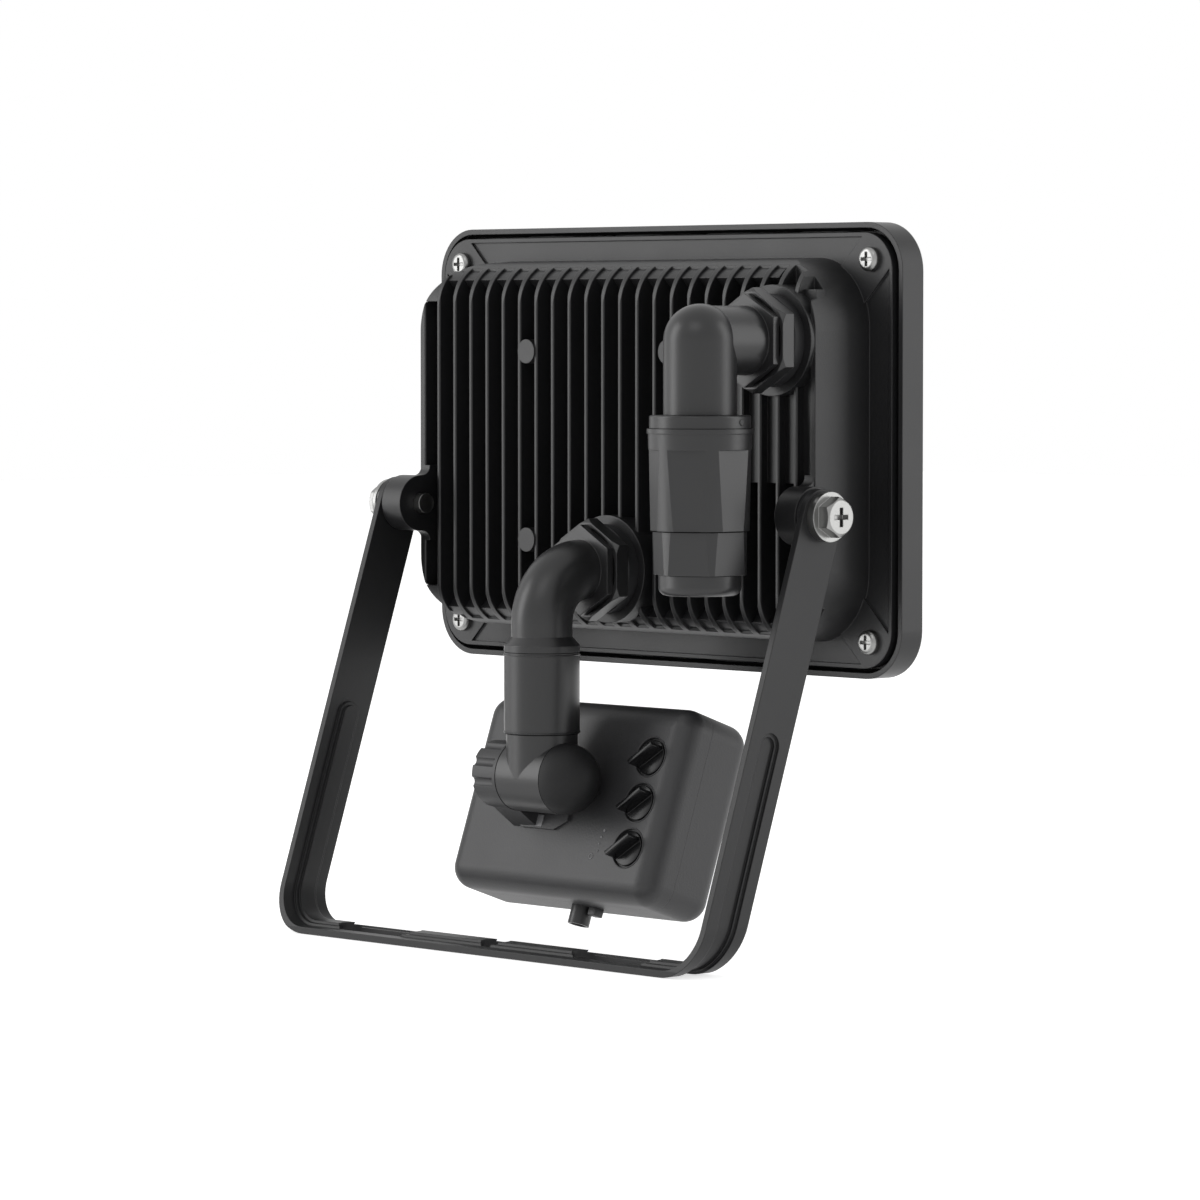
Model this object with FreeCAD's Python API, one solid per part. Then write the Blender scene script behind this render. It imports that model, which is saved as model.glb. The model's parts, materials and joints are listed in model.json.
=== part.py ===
import FreeCAD, Part
import math
import os

os.makedirs("parts", exist_ok=True)

# Lamp head stack from front to back, in mm
LIP = 2.0
GLASS = 3.0
GASKET = 2.0
FLANGE = 3.4
RIM_SETBACK = 1.2
BLOCK_DEPTH = 19.8

# Bezel, window and flange outlines
BEZEL_W = 195.0
BEZEL_H = 130.0
BEZEL_R = 14.0
BEZEL_WALL = 1.6
RIM_GAP = 1.4
FACE_SIDE = 14.5
FACE_END = 13.5
OPENING_R = 9.5
GLASS_OVERLAP = 5.0
GLASS_R = 16.0
FLANGE_R = 11.0

# Rim tabs in the gap round the flange
TAB_LENGTH = 19.0
TABS = 5
TAB_CORNER = 11.0
TAB_CENTRE = -1.7
TAB_THICK = 0.8

# Flange panels, corner pads and corner screws
BORDER = 1.2
PANEL_DEPTH = 0.8
PAD_BAND = 14.0
PAD_SHIFT_X = 1.9
PAD_SHIFT_Z = 2.0
SCREW_OUT_X = 3.2
SCREW_OUT_Z = 2.9
SCREW_R = 1.75
SCREW_HEAD_R = 3.5
SCREW_HEAD_H = 2.1
SCREW_LENGTH = 7.6
POST_R = 3.2

# Finned block
LEDGE_SIDE = 12.5
LEDGE_END = 10.0
DRAFT_SIDE = 1.4
DRAFT_END = 1.2
BLOCK_R = 20.0
SHOULDER_R = 13.0
FIN_PITCH = 7.2
FIN_DEPTH = 6.5
SLOT_TIP = 5.8
SLOT_FLOOR = 4.9
FIN_EDGE = 0.3
EDGE_FIN = 2.1
EDGE_SLOT_TIP = 5.2
CAVITY_FLOOR = 3.0
CAVITY_SIDE = 5.0
CAVITY_END = 6.0
CAVITY_R = 17.0
BOSS_R = 3.6
BOSS_RISE = 0.5
BOSS_X = (36.0, -24.0)
BOSS_Z = 28.0

# Inlet pads and the raised land beside the upper one
INLET_PAD_R = 15.8
INLET_PAD_RISE = 1.5
SUPPLY_IN = 16.0
SUPPLY_DOWN = 22.4
SENSOR_UP = 18.2
LAND_PITCHES = (-9.5, -6.5)
LAND_DROP = 2.7
LAND_BOTTOM = -9.2

# Tilt pivot
PIVOT_RISE = 3.8
PIVOT_Z = -18.0
LUG_R = 8.4
LUG_SINK = 4.1
LUG_OUT = 4.0
LUG_BLEND = 3.0
PIVOT_R = 3.0
PIVOT_CLEARANCE = 0.1
FRICTION_WASHER = 1.0
BOLT_WASHER = 1.6
BOLT_WASHER_R = 6.8
BOLT_FLANGE = 1.4
BOLT_FLANGE_R = 7.1
BOLT_HEX = 4.0
BOLT_HEX_AF = 10.0
BOLT_PAST_LUG = 2.7

# Reflector, board and light field
REFLECTOR_GAP = 2.0
REFLECTOR_WALL = 1.0
REFLECTOR_FRONT_GAP = 0.4
FIELD_W = 106.0
FIELD_H = 68.0
FIELD_R = 4.0
BOARD_GAP = 4.0
BOARD_SCREW_R = 1.7
LED_COLUMNS = 8
LED_ROWS = 5
LED_PITCH_X = 12.0
LED_PITCH_Z = 11.0
LED_W = 2.8
LED_H = 3.5
LED_T = 0.7
DRIVER_IN = 6.0

# Bracket strip
STRIP = 2.0
STRIP_W = 15.6
ARM_DROP = 127.0
ARM_SWEEP = 42.0
BEND_R = 14.0
RIB_STEPS = ((7.5, 0.75), (5.2, 1.5))
RIB_TOP = -81.5
BASE_HOLE_R = 4.25
SLOT_X = 50.5
SLOT_LENGTH = 33.0
SLOT_W = 8.0

# Nut stack on both inlets
SPIGOT_R = 8.0
THREAD_CLEARANCE = 0.1
INLET_GASKET = 4.0
INLET_GASKET_R = 13.2
LOCKNUT = 4.5
LOCKNUT_AF = 26.0
COLLAR = 2.3
COLLAR_AF = 23.0
NUT_RECESS_R = 12.4
NUT_RECESS = 0.7

# Supply elbow and its plug connector
SUPPLY_OUT = 17.5
STUB_R = 9.8
TUBE_R = 10.35
TUBE_BORE = 5.0
CAP_TOP = 10.5
CAP_R = 14.3
CAP_HEIGHT = 3.7
RING_R = 14.95
RING_HEIGHT = 1.4
BODY_TOP_R = 14.65
BODY_END_R = 13.9
BODY_BOTTOM = -21.9
FLATS_TOP = 0.9
FLATS_AF = 26.6
PLUG_BORE = 9.6
GLAND_TOP_AF = 24.6
GLAND_END_AF = 23.8
GLAND_BOTTOM = -34.2
GLAND_NUT_R = 11.7
GLAND_NUT_BOTTOM = -40.0
CABLE_R = 4.5

# Sensor elbow, swivel and knuckle
ARM_OUT = 15.2
ELBOW_R = 8.9
ELBOW_BEND = 15.0
ELBOW_BORE = 4.5
ELBOW_DROP = 3.8
FLARE_HEIGHT = 4.4
SLEEVE_HEIGHT = 23.5
SLEEVE_R = 11.0
SWIVEL_R = 7.0
SWIVEL_CLEARANCE = 0.08
SPIGOT_CLEAR = 7.3
CLIP = 1.0
CLIP_ABOVE_END = 2.9
NECK_R = 10.4
BARREL_R = 10.35
TILT_DROP = 12.9
SEAM_X = 9.0
DOME_X = -9.6
EAR_END = 19.5
EAR_R = 9.8
TILT_PIN_R = 2.5
TILT_HEAD_R = 4.2
TILT_HEAD = 2.4

# Sensor head, drawn upright about its tilt axis and then leaned back
LEAN = 19.5
REAR_Y = -11.72
HEAD_DEPTH = 28.0
HEAD_TOP = 27.4
HEAD_BOTTOM = -31.5
HEAD_LEFT = 44.5
HEAD_RIGHT = -42.0
HEAD_R = 6.5
HEAD_WALL = 2.0
SPLIT_DEPTH = 10.3
KNOB_X = -30.0
KNOB_Z = -2.4
KNOB_PITCH = 13.65
KNOB_R = 5.2
KNOB_SEAT_R = 5.75
KNOB_SEAT = 0.8
KNOB_DISC = 1.6
KNOB_GRIP = 1.4
KNOB_STEM_R = 1.6
STEM_CLEARANCE = 0.08
BOARD_T = 1.6
BOARD_Y = -27.0
POT_HEIGHT = 6.0
TUBE_X = -0.7
CELL_Y = -27.7
CELL_R = 3.3
CELL_END = -37.0
LENS_R = 19.5
LENS_RISE = 10.5
LENS_RIM = 1.1
LENS_T = 0.8
LENS_Z = -1.3

# Shared positions worked out from the sizes above
FLANGE_FRONT = -FLANGE
GLASS_REAR = FLANGE_FRONT - GASKET
GLASS_FRONT = GLASS_REAR - GLASS
BEZEL_FRONT = GLASS_FRONT - LIP
FLANGE_W = BEZEL_W - 2 * (BEZEL_WALL + RIM_GAP)
FLANGE_H = BEZEL_H - 2 * (BEZEL_WALL + RIM_GAP)
OPENING_W = BEZEL_W - 2 * FACE_SIDE
OPENING_H = BEZEL_H - 2 * FACE_END
TAB_PITCH = (BEZEL_W - 2 * TAB_CORNER - TAB_LENGTH) / (TABS - 1)
SCREW_X = OPENING_W / 2 + SCREW_OUT_X
SCREW_Z = OPENING_H / 2 + SCREW_OUT_Z
PAD_X = SCREW_X + PAD_SHIFT_X
PAD_Z = SCREW_Z + PAD_SHIFT_Z
ROOT_W = BEZEL_W - 2 * LEDGE_SIDE
ROOT_H = BEZEL_H - 2 * LEDGE_END
TIP_W = ROOT_W - 2 * DRAFT_SIDE
TIP_H = ROOT_H - 2 * DRAFT_END
EDGE_SLOT_X = TIP_W / 2 - EDGE_FIN - EDGE_SLOT_TIP / 2
SLOTS_EACH_SIDE = int((EDGE_SLOT_X - SLOT_TIP) / FIN_PITCH)
CAVITY_W = ROOT_W - 2 * CAVITY_SIDE
CAVITY_H = ROOT_H - 2 * CAVITY_END
SUPPLY_X = SUPPLY_IN - TIP_W / 2
SUPPLY_Z = TIP_H / 2 - SUPPLY_DOWN
SENSOR_Z = SENSOR_UP - TIP_H / 2
FLARE_TOP = SENSOR_Z - ELBOW_BEND - ELBOW_DROP
SLEEVE_TOP = FLARE_TOP - FLARE_HEIGHT
SLEEVE_BOTTOM = SLEEVE_TOP - SLEEVE_HEIGHT
SWIVEL_END = SLEEVE_BOTTOM + SPIGOT_CLEAR
CLIP_Z = SWIVEL_END + CLIP_ABOVE_END
TILT_Z = SLEEVE_BOTTOM - TILT_DROP
LAND_X = [FIN_PITCH * count for count in LAND_PITCHES]
LUG_START = TIP_W / 2 - LUG_SINK
LUG_END = TIP_W / 2 + LUG_OUT
BOLT_TIP = LUG_START - BOLT_PAST_LUG
BOARD_W = CAVITY_W - 2 * BOARD_GAP
GLASS_W = OPENING_W + 2 * GLASS_OVERLAP
GLASS_H = OPENING_H + 2 * GLASS_OVERLAP
SLOT_Y = BLOCK_DEPTH - FIN_DEPTH
CAVITY_Y = SLOT_Y - CAVITY_FLOOR
PAD_Y = BLOCK_DEPTH + INLET_PAD_RISE
PIVOT_Y = BLOCK_DEPTH + PIVOT_RISE
ARM_INNER = LUG_END + FRICTION_WASHER
ARM_OUTER = ARM_INNER + STRIP
CUT_REACH = ARM_OUTER + 10
BASE_Z = PIVOT_Z - ARM_DROP
BASE_Y = PIVOT_Y + ARM_SWEEP
LOCKNUT_Y = PAD_Y + INLET_GASKET
COLLAR_Y = LOCKNUT_Y + LOCKNUT
STUB_Y = COLLAR_Y + COLLAR
SUPPLY_Y = STUB_Y + SUPPLY_OUT
ARM_Y = STUB_Y + ARM_OUT
RING_TOP = CAP_TOP - CAP_HEIGHT
RING_BOTTOM = RING_TOP - RING_HEIGHT
LED_FACE = CAVITY_Y - BOARD_T
FRONT_Y = REAR_Y - HEAD_DEPTH
SPLIT_Y = REAR_Y - SPLIT_DEPTH
CORNERS = ((1, 1), (-1, 1), (-1, -1), (1, -1))
X = FreeCAD.Vector(1, 0, 0)
Y = FreeCAD.Vector(0, 1, 0)
Z = FreeCAD.Vector(0, 0, 1)


def vec(x, y, z):
    """Point or direction."""
    return FreeCAD.Vector(x, y, z)


def box(x0, x1, y0, y1, z0, z1):
    """Box between two corners."""
    return Part.makeBox(x1 - x0, y1 - y0, z1 - z0, vec(x0, y0, z0))


def rod(radius, start, direction, length):
    """Round bar from a point along a direction."""
    return Part.makeCylinder(radius, length, start, direction)


def prism(points, run):
    """Solid swept from a closed flat outline."""
    outline = Part.makePolygon(points + [points[0]])
    return Part.Face(outline).extrude(run)


def turned(profile, start, direction):
    """Solid of revolution from (radius, height) pairs, its axis along a direction."""
    points = [vec(radius, 0, height) for radius, height in profile]
    face = Part.Face(Part.makePolygon(points + [points[0]]))
    return placed(face.revolve(vec(0, 0, 0), Z, 360), start, direction)


def placed(shape, start, direction):
    """Shape drawn on +Z, turned to a direction and moved to a point."""
    result = shape.copy()
    result.Placement = FreeCAD.Placement(start, FreeCAD.Rotation(Z, direction))
    return result


def hexagon(across_flats, height, turn):
    """Hexagonal bar on +Z with its first corner at an angle."""
    reach = across_flats / math.sqrt(3)
    angles = [math.radians(turn + 60 * k) for k in range(6)]
    points = [vec(reach * math.cos(a), reach * math.sin(a), 0) for a in angles]
    return prism(points, vec(0, 0, height))


def edges_along(shape, axis):
    """Straight edges that run along an axis."""
    picked = []
    for edge in shape.Edges:
        run = edge.Vertexes[-1].Point - edge.Vertexes[0].Point
        if run.Length > 0.01 and run.cross(axis).Length < 1e-6 * run.Length:
            picked.append(edge)
    return picked


def rounded_plate(width, height, radius, y0, y1):
    """Upright plate with round corners between two depths."""
    plate = box(-width / 2, width / 2, y0, y1, -height / 2, height / 2)
    return plate.makeFillet(radius, edges_along(plate, Y))


def rounded_block(x, y, z, radius):
    """Block between pairs of limits with every edge rounded."""
    block = box(x[0], x[1], y[0], y[1], z[0], z[1])
    return block.makeFillet(radius, block.Edges)


def outline(width, height, radius, y):
    """Closed upright rounded rectangle at a depth."""
    edges = []
    last = None
    for k in range(4):
        spots = []
        for step in (0, 45, 90):
            angle = math.radians(90 * k + step)
            side = (1, -1, -1, 1)[k]
            rise = (1, 1, -1, -1)[k]
            cx = side * (width / 2 - radius) + radius * math.cos(angle)
            cz = rise * (height / 2 - radius) + radius * math.sin(angle)
            spots.append(vec(cx, y, cz))
        if last is not None:
            edges.append(Part.makeLine(last, spots[0]))
        edges.append(Part.Arc(*spots).toShape())
        last = spots[2]
    edges.append(Part.makeLine(last, edges[0].Vertexes[0].Point))
    return Part.Wire(edges)


def mirrored(shape, axis):
    """Shape and its mirror image across the middle plane."""
    return [shape, shape.mirror(vec(0, 0, 0), axis)]


def cross_recess(span, width, depth):
    """Cross-shaped driver recess cut downwards from z = 0."""
    bar = box(-span / 2, span / 2, -width / 2, width / 2, -depth, 1)
    other = box(-width / 2, width / 2, -span / 2, span / 2, -depth, 1)
    return bar.fuse(other)


def pan_screw(head_r, head_h, shank_r, shank):
    """Domed screw standing on +Z, its head seated on z = 0."""
    head = Part.makeCylinder(head_r, head_h)
    rim = [e for e in head.Edges if e.Curve.TypeId == "Part::GeomCircle" and e.Vertexes[0].Z > 0.1]
    head = head.makeFillet(head_h * 0.6, rim)
    recess = cross_recess(head_r * 1.15, head_r * 0.26, head_h * 0.6)
    recess.translate(vec(0, 0, head_h))
    stem = rod(shank_r, vec(0, 0, -shank), Z, shank)
    return head.fuse(stem).cut(recess)


def export(name, shape):
    """Moves a shape to the bracket's foot and writes its file."""
    moved = shape.copy()
    moved.translate(vec(0, -BASE_Y, -BASE_Z))
    moved.exportStep("parts/" + name + ".step")


# Lamp head casting
def flange():
    """Flange plate with sunk panels, a raised border and diagonal corner pads."""
    plate = rounded_plate(FLANGE_W, FLANGE_H, FLANGE_R, -FLANGE, 0)
    width = FLANGE_W - 2 * BORDER
    height = FLANGE_H - 2 * BORDER
    panel = rounded_plate(width, height, FLANGE_R - BORDER, -PANEL_DEPTH, 1)
    bands = []
    for sx, sz in CORNERS:
        band = box(-30, 30, -2, 2, -PAD_BAND / 2, PAD_BAND / 2)
        band.rotate(vec(0, 0, 0), Y, -45 * sx * sz)
        band.translate(vec(sx * PAD_X, 0, sz * PAD_Z))
        bands.append(band)
    return plate.cut(panel.cut(bands))


def shoulder_waste():
    """Waste outside the rounded top shoulder of the block."""
    y = BLOCK_DEPTH - SHOULDER_R
    draft = (ROOT_H - TIP_H) / 2 * y / BLOCK_DEPTH
    z = ROOT_H / 2 - draft - SHOULDER_R
    waste = box(-ROOT_W, ROOT_W, y, BLOCK_DEPTH + 5, z, ROOT_H)
    return waste.cut(rod(SHOULDER_R, vec(-ROOT_W, y, z), X, 2 * ROOT_W))


def slot_cutter(x, tip, floor):
    """Tapered slot between two fins with eased mouth, run the full height."""
    half = ((floor / 2, SLOT_Y), (tip / 2, BLOCK_DEPTH - FIN_EDGE), (tip / 2 + FIN_EDGE, BLOCK_DEPTH),
            (tip / 2 + FIN_EDGE, BLOCK_DEPTH + 1))
    points = [vec(x - w, y, -ROOT_H) for w, y in half]
    points += [vec(x + w, y, -ROOT_H) for w, y in reversed(half)]
    return prism(points, vec(0, 0, 2 * ROOT_H))


def finned_block():
    """Drafted block with rounded shoulders and tapered slots."""
    root = outline(ROOT_W, ROOT_H, BLOCK_R, -PANEL_DEPTH - 0.2)
    tip = outline(TIP_W, TIP_H, BLOCK_R, BLOCK_DEPTH)
    block = Part.makeLoft([root, tip], True, True)
    steps = range(-SLOTS_EACH_SIDE, SLOTS_EACH_SIDE + 1)
    slots = [slot_cutter(k * FIN_PITCH, SLOT_TIP, SLOT_FLOOR) for k in steps]
    slots += mirrored(slot_cutter(EDGE_SLOT_X, EDGE_SLOT_TIP, SLOT_FLOOR - 0.6), X)
    return block.cut(mirrored(shoulder_waste(), Z)).cut(slots)


def pivot_lug():
    """Lug on the left side, blended onto the fin plane by a hollow web."""
    reach = math.sqrt((LUG_R + LUG_BLEND) ** 2 - (PIVOT_RISE - LUG_BLEND) ** 2)
    centre_y = BLOCK_DEPTH + LUG_BLEND
    share = LUG_R / (LUG_R + LUG_BLEND)
    touch = vec(LUG_START, PIVOT_Y + share * (centre_y - PIVOT_Y), PIVOT_Z + share * reach)
    foot = vec(LUG_START, BLOCK_DEPTH, PIVOT_Z + reach)
    centre = vec(LUG_START, centre_y, PIVOT_Z + reach)
    way = ((foot - centre) + (touch - centre)).normalize()
    arc = Part.Arc(foot, centre + way * LUG_BLEND, touch).toShape()
    flip = vec(0, 0, 2 * PIVOT_Z)
    low_arc = arc.mirror(vec(0, 0, PIVOT_Z), Z)
    low_foot = vec(foot.x, foot.y, flip.z - foot.z)
    low_touch = vec(touch.x, touch.y, flip.z - touch.z)
    root = vec(foot.x, SLOT_Y - 1, foot.z)
    low_root = vec(foot.x, SLOT_Y - 1, low_foot.z)
    sides = [
        Part.makeLine(root, foot),
        arc,
        Part.makeLine(touch, low_touch),
        low_arc,
        Part.makeLine(low_foot, low_root),
        Part.makeLine(low_root, root),
    ]
    outline_wire = Part.Wire(Part.__sortEdges__(sides))
    web = Part.Face(outline_wire).extrude(vec(TIP_W / 2 - LUG_START - 0.3, 0, 0))
    lug = rod(LUG_R, vec(LUG_START, PIVOT_Y, PIVOT_Z), X, LUG_END - LUG_START)
    return lug.fuse(web)


def heatsink_housing():
    """One-piece finned casting with flange, pads, bosses, lugs and cavity."""
    body = flange().fuse(finned_block())
    adds = mirrored(pivot_lug(), X)
    for x in BOSS_X:
        for z in (BOSS_Z, -BOSS_Z):
            adds.append(rod(BOSS_R, vec(x, SLOT_Y - 1, z), Y, FIN_DEPTH + 1 + BOSS_RISE))
    for x, z in ((SUPPLY_X, SUPPLY_Z), (0, SENSOR_Z)):
        adds.append(rod(INLET_PAD_R, vec(x, SLOT_Y - 1, z), Y, PAD_Y - SLOT_Y + 1))
    land_y = BLOCK_DEPTH - LAND_DROP
    adds.append(box(LAND_X[0], LAND_X[1], SLOT_Y - 1, land_y, LAND_BOTTOM, SUPPLY_Z))
    body = body.fuse(adds)
    cuts = [rounded_plate(CAVITY_W, CAVITY_H, CAVITY_R, -FLANGE - 1, CAVITY_Y)]
    for x, z in ((SUPPLY_X, SUPPLY_Z), (0, SENSOR_Z)):
        cuts.append(rod(SPIGOT_R + THREAD_CLEARANCE, vec(x, 0, z), Y, PAD_Y + 1))
    for x in BOSS_X:
        for z in (BOSS_Z, -BOSS_Z):
            cuts.append(rod(1.5 + THREAD_CLEARANCE, vec(x, 0, z), Y, SLOT_Y + 4))
    for sx, sz in CORNERS:
        spot = vec(sx * SCREW_X, -FLANGE - 1, sz * SCREW_Z)
        cuts.append(rod(SCREW_R + THREAD_CLEARANCE, spot, Y, FLANGE + 2))
    bolt_bore = rod(PIVOT_R + THREAD_CLEARANCE, vec(LUG_START - 1, PIVOT_Y, PIVOT_Z), X, 20)
    cuts += mirrored(bolt_bore, X)
    return body.cut(cuts)


# Front frame, window and light parts
def front_bezel():
    """Frame round the window with corner posts and rim tabs."""
    shell = rounded_plate(BEZEL_W, BEZEL_H, BEZEL_R, BEZEL_FRONT, -RIM_SETBACK)
    front = [e for e in shell.Edges if all(v.Y < BEZEL_FRONT + 0.01 for v in e.Vertexes)]
    shell = shell.makeFillet(LIP * 0.6, front)
    width = BEZEL_W - 2 * BEZEL_WALL
    height = BEZEL_H - 2 * BEZEL_WALL
    room = rounded_plate(width, height, BEZEL_R - BEZEL_WALL, GLASS_FRONT, 0)
    opening = rounded_plate(OPENING_W, OPENING_H, OPENING_R, BEZEL_FRONT - 1, GLASS_FRONT + 1)
    shell = shell.cut([room, opening])
    posts = []
    pilots = []
    for sx, sz in CORNERS:
        spot = vec(sx * SCREW_X, GLASS_FRONT, sz * SCREW_Z)
        posts.append(rod(POST_R, spot, Y, FLANGE_FRONT - GLASS_FRONT))
        pilots.append(rod(SCREW_R + THREAD_CLEARANCE, spot, Y, 10))
    tabs = []
    for k in range(TABS):
        x = TAB_CENTRE + (k - (TABS - 1) / 2) * TAB_PITCH
        tab = box(x - TAB_LENGTH / 2, x + TAB_LENGTH / 2, GLASS_FRONT, -RIM_SETBACK - 2.5,
                  height / 2 - TAB_THICK, height / 2 + 0.2)
        tabs += mirrored(tab, Z)
    return shell.fuse(posts + tabs).cut(pilots)


def front_glass():
    """Flat window pane."""
    return rounded_plate(GLASS_W, GLASS_H, GLASS_R, GLASS_FRONT, GLASS_REAR)


def glass_gasket():
    """Flat seal between pane and flange."""
    ring = rounded_plate(GLASS_W, GLASS_H, GLASS_R, GLASS_REAR, FLANGE_FRONT)
    return ring.cut(rounded_plate(OPENING_W, OPENING_H, OPENING_R, GLASS_REAR - 1, 0))


def reflector():
    """Flared four-sided reflector round the light source."""
    sides = []
    for wall in (REFLECTOR_WALL, 0):
        back = outline(FIELD_W + 2 * wall, FIELD_H + 2 * wall, FIELD_R + wall, LED_FACE)
        gap = REFLECTOR_GAP + REFLECTOR_WALL - wall
        front_y = GLASS_REAR + REFLECTOR_FRONT_GAP
        front = outline(CAVITY_W - 2 * gap, CAVITY_H - 2 * gap, CAVITY_R - gap, front_y)
        sides.append(Part.makeLoft([back, front], True, True))
    return sides[0].cut(sides[1])


def led_board():
    """Light-source board with wire holes and screw holes."""
    board = rounded_plate(BOARD_W, CAVITY_H - 2 * BOARD_GAP, CAVITY_R - BOARD_GAP, LED_FACE, CAVITY_Y)
    cuts = [rod(SPIGOT_R, vec(x, 0, z), Y, 20) for x, z in ((SUPPLY_X, SUPPLY_Z), (0, SENSOR_Z))]
    for x in BOSS_X:
        for z in (BOSS_Z, -BOSS_Z):
            cuts.append(rod(BOARD_SCREW_R, vec(x, 0, z), Y, 20))
    return board.cut(cuts)


def led_array():
    """Grid of small light emitters on the board."""
    chips = []
    for column in range(LED_COLUMNS):
        for row in range(LED_ROWS):
            x = LED_PITCH_X * (column - (LED_COLUMNS - 1) / 2) - LED_W / 2
            z = LED_PITCH_Z * (row - (LED_ROWS - 1) / 2) - LED_H / 2
            chips.append(box(x, x + LED_W, LED_FACE - LED_T, LED_FACE, z, z + LED_H))
    return Part.makeCompound(chips)


def driver_components():
    """Rectifier, two regulators and a fuse beside the light field."""
    sizes = ((4.0, 6.5, 2.6, 5.0), (-8.0, 5.0, 1.7, 6.2), (-20.0, 5.0, 1.7, 6.2), (-32.0, 4.5, 2.4, 8.0))
    parts = []
    for z, width, height, length in sizes:
        left = DRIVER_IN - BOARD_W / 2 - width / 2
        low = z - length / 2
        parts.append(box(left, left + width, LED_FACE - height, LED_FACE, low, low + length))
    return Part.makeCompound(parts)


def board_screws():
    """Four screws that hold the board to the casting."""
    screw = pan_screw(2.75, 1.8, 1.5, BOARD_T + 5)
    spots = [(x, z) for x in BOSS_X for z in (BOSS_Z, -BOSS_Z)]
    return Part.makeCompound([placed(screw, vec(x, LED_FACE, z), -Y) for x, z in spots])


def corner_screws():
    """Four screws through the corner pads into the bezel posts."""
    screw = pan_screw(SCREW_HEAD_R, SCREW_HEAD_H, SCREW_R, SCREW_LENGTH)
    return Part.makeCompound([placed(screw, vec(sx * SCREW_X, 0, sz * SCREW_Z), Y) for sx, sz in CORNERS])


# Tilt hardware and bracket
def pivot_bolts():
    """Flanged hexagon bolts screwed into the lugs from both sides."""
    start = ARM_OUTER + BOLT_WASHER
    collar = rod(BOLT_FLANGE_R, vec(0, 0, 0), Z, BOLT_FLANGE)
    head = hexagon(BOLT_HEX_AF, BOLT_FLANGE + BOLT_HEX, 0)
    top = BOLT_FLANGE + BOLT_HEX
    cone = Part.makeCone(BOLT_HEX_AF * 0.6 + top, BOLT_HEX_AF * 0.47, top)
    recess = cross_recess(5.4, 1.3, 2.2)
    recess.translate(vec(0, 0, top))
    stem = rod(PIVOT_R, vec(0, 0, BOLT_TIP - start), Z, start - BOLT_TIP)
    bolt = head.common(cone).fuse([collar, stem]).cut(recess)
    return Part.makeCompound(mirrored(placed(bolt, vec(start, PIVOT_Y, PIVOT_Z), X), X))


def washer_pair(x, thick, radius):
    """Washer on each pivot at a distance from the middle."""
    ring = rod(radius, vec(x, PIVOT_Y, PIVOT_Z), X, thick)
    hole = rod(PIVOT_R + PIVOT_CLEARANCE, vec(x - 1, PIVOT_Y, PIVOT_Z), X, thick + 2)
    return Part.makeCompound(mirrored(ring.cut(hole), X))


def channel(inset):
    """Everything inside a U outline set inwards from the strip's outer faces."""
    half = ARM_OUTER - inset
    solid = box(-half, half, -60, 140, BASE_Z + inset, PIVOT_Z + STRIP_W)
    low = [e for e in edges_along(solid, Y) if e.Vertexes[0].Z < BASE_Z + inset + 1]
    return solid.makeFillet(BEND_R - inset, low)


def side_band(width, top):
    """Side outline of the strip, leaning back from a round end to the base."""
    foot = vec(-CUT_REACH, BASE_Y, BASE_Z + STRIP)
    lean = (vec(-CUT_REACH, PIVOT_Y, PIVOT_Z) - foot).normalize()
    across = vec(0, lean.z, -lean.y)
    share = (top - foot.z) / lean.z
    head = foot + lean * share
    half = width / 2
    flat = half / lean.z
    tips = [head - across * half, head + lean * half, head + across * half]
    corners = [vec(-CUT_REACH, foot.y + flat, foot.z), vec(-CUT_REACH, foot.y + flat, BASE_Z - 1),
               vec(-CUT_REACH, foot.y - flat, BASE_Z - 1), vec(-CUT_REACH, foot.y - flat, foot.z)]
    edges = [Part.Arc(*tips).toShape(), Part.makeLine(tips[2], corners[0])]
    edges += [Part.makeLine(corners[k], corners[k + 1]) for k in range(3)]
    edges.append(Part.makeLine(corners[3], tips[0]))
    return Part.Face(Part.Wire(edges)).extrude(vec(2 * CUT_REACH, 0, 0))


def base_slot():
    """Cutter for one long slot in the base."""
    half = SLOT_LENGTH / 2 - SLOT_W / 2
    bar = box(SLOT_X - half, SLOT_X + half, BASE_Y - SLOT_W / 2, BASE_Y + SLOT_W / 2, BASE_Z - 1, BASE_Z + 8)
    ends = [rod(SLOT_W / 2, vec(SLOT_X + k * half, BASE_Y, BASE_Z - 1), Z, 9) for k in (1, -1)]
    return bar.fuse(ends)


def bracket():
    """U strip with a pressed rib, pivot holes, base hole and two slots."""
    strip = channel(0).cut(channel(STRIP)).common(side_band(STRIP_W, PIVOT_Z))
    for width, rise in RIB_STEPS:
        band = side_band(width, RIB_TOP)
        groove = channel(-1).cut(channel(rise)).common(band)
        rib = channel(rise).cut(channel(rise + STRIP)).common(band)
        strip = strip.cut(groove).fuse(rib)
    cuts = mirrored(base_slot(), X)
    cuts.append(rod(BASE_HOLE_R, vec(0, BASE_Y, BASE_Z - 1), Z, 9))
    cuts.append(rod(PIVOT_R + PIVOT_CLEARANCE, vec(-CUT_REACH, PIVOT_Y, PIVOT_Z), X, 2 * CUT_REACH))
    return strip.cut(cuts).removeSplitter()


# Nut stacks and supply connector
def inlet_gasket(x, z):
    """Thick seal ring on an inlet pad."""
    profile = [(SPIGOT_R + THREAD_CLEARANCE, 0), (INLET_GASKET_R, 0), (INLET_GASKET_R, INLET_GASKET - 0.5),
               (INLET_GASKET_R - 0.5, INLET_GASKET), (SPIGOT_R + THREAD_CLEARANCE, INLET_GASKET)]
    return turned(profile, vec(x, PAD_Y, z), Y)


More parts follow.
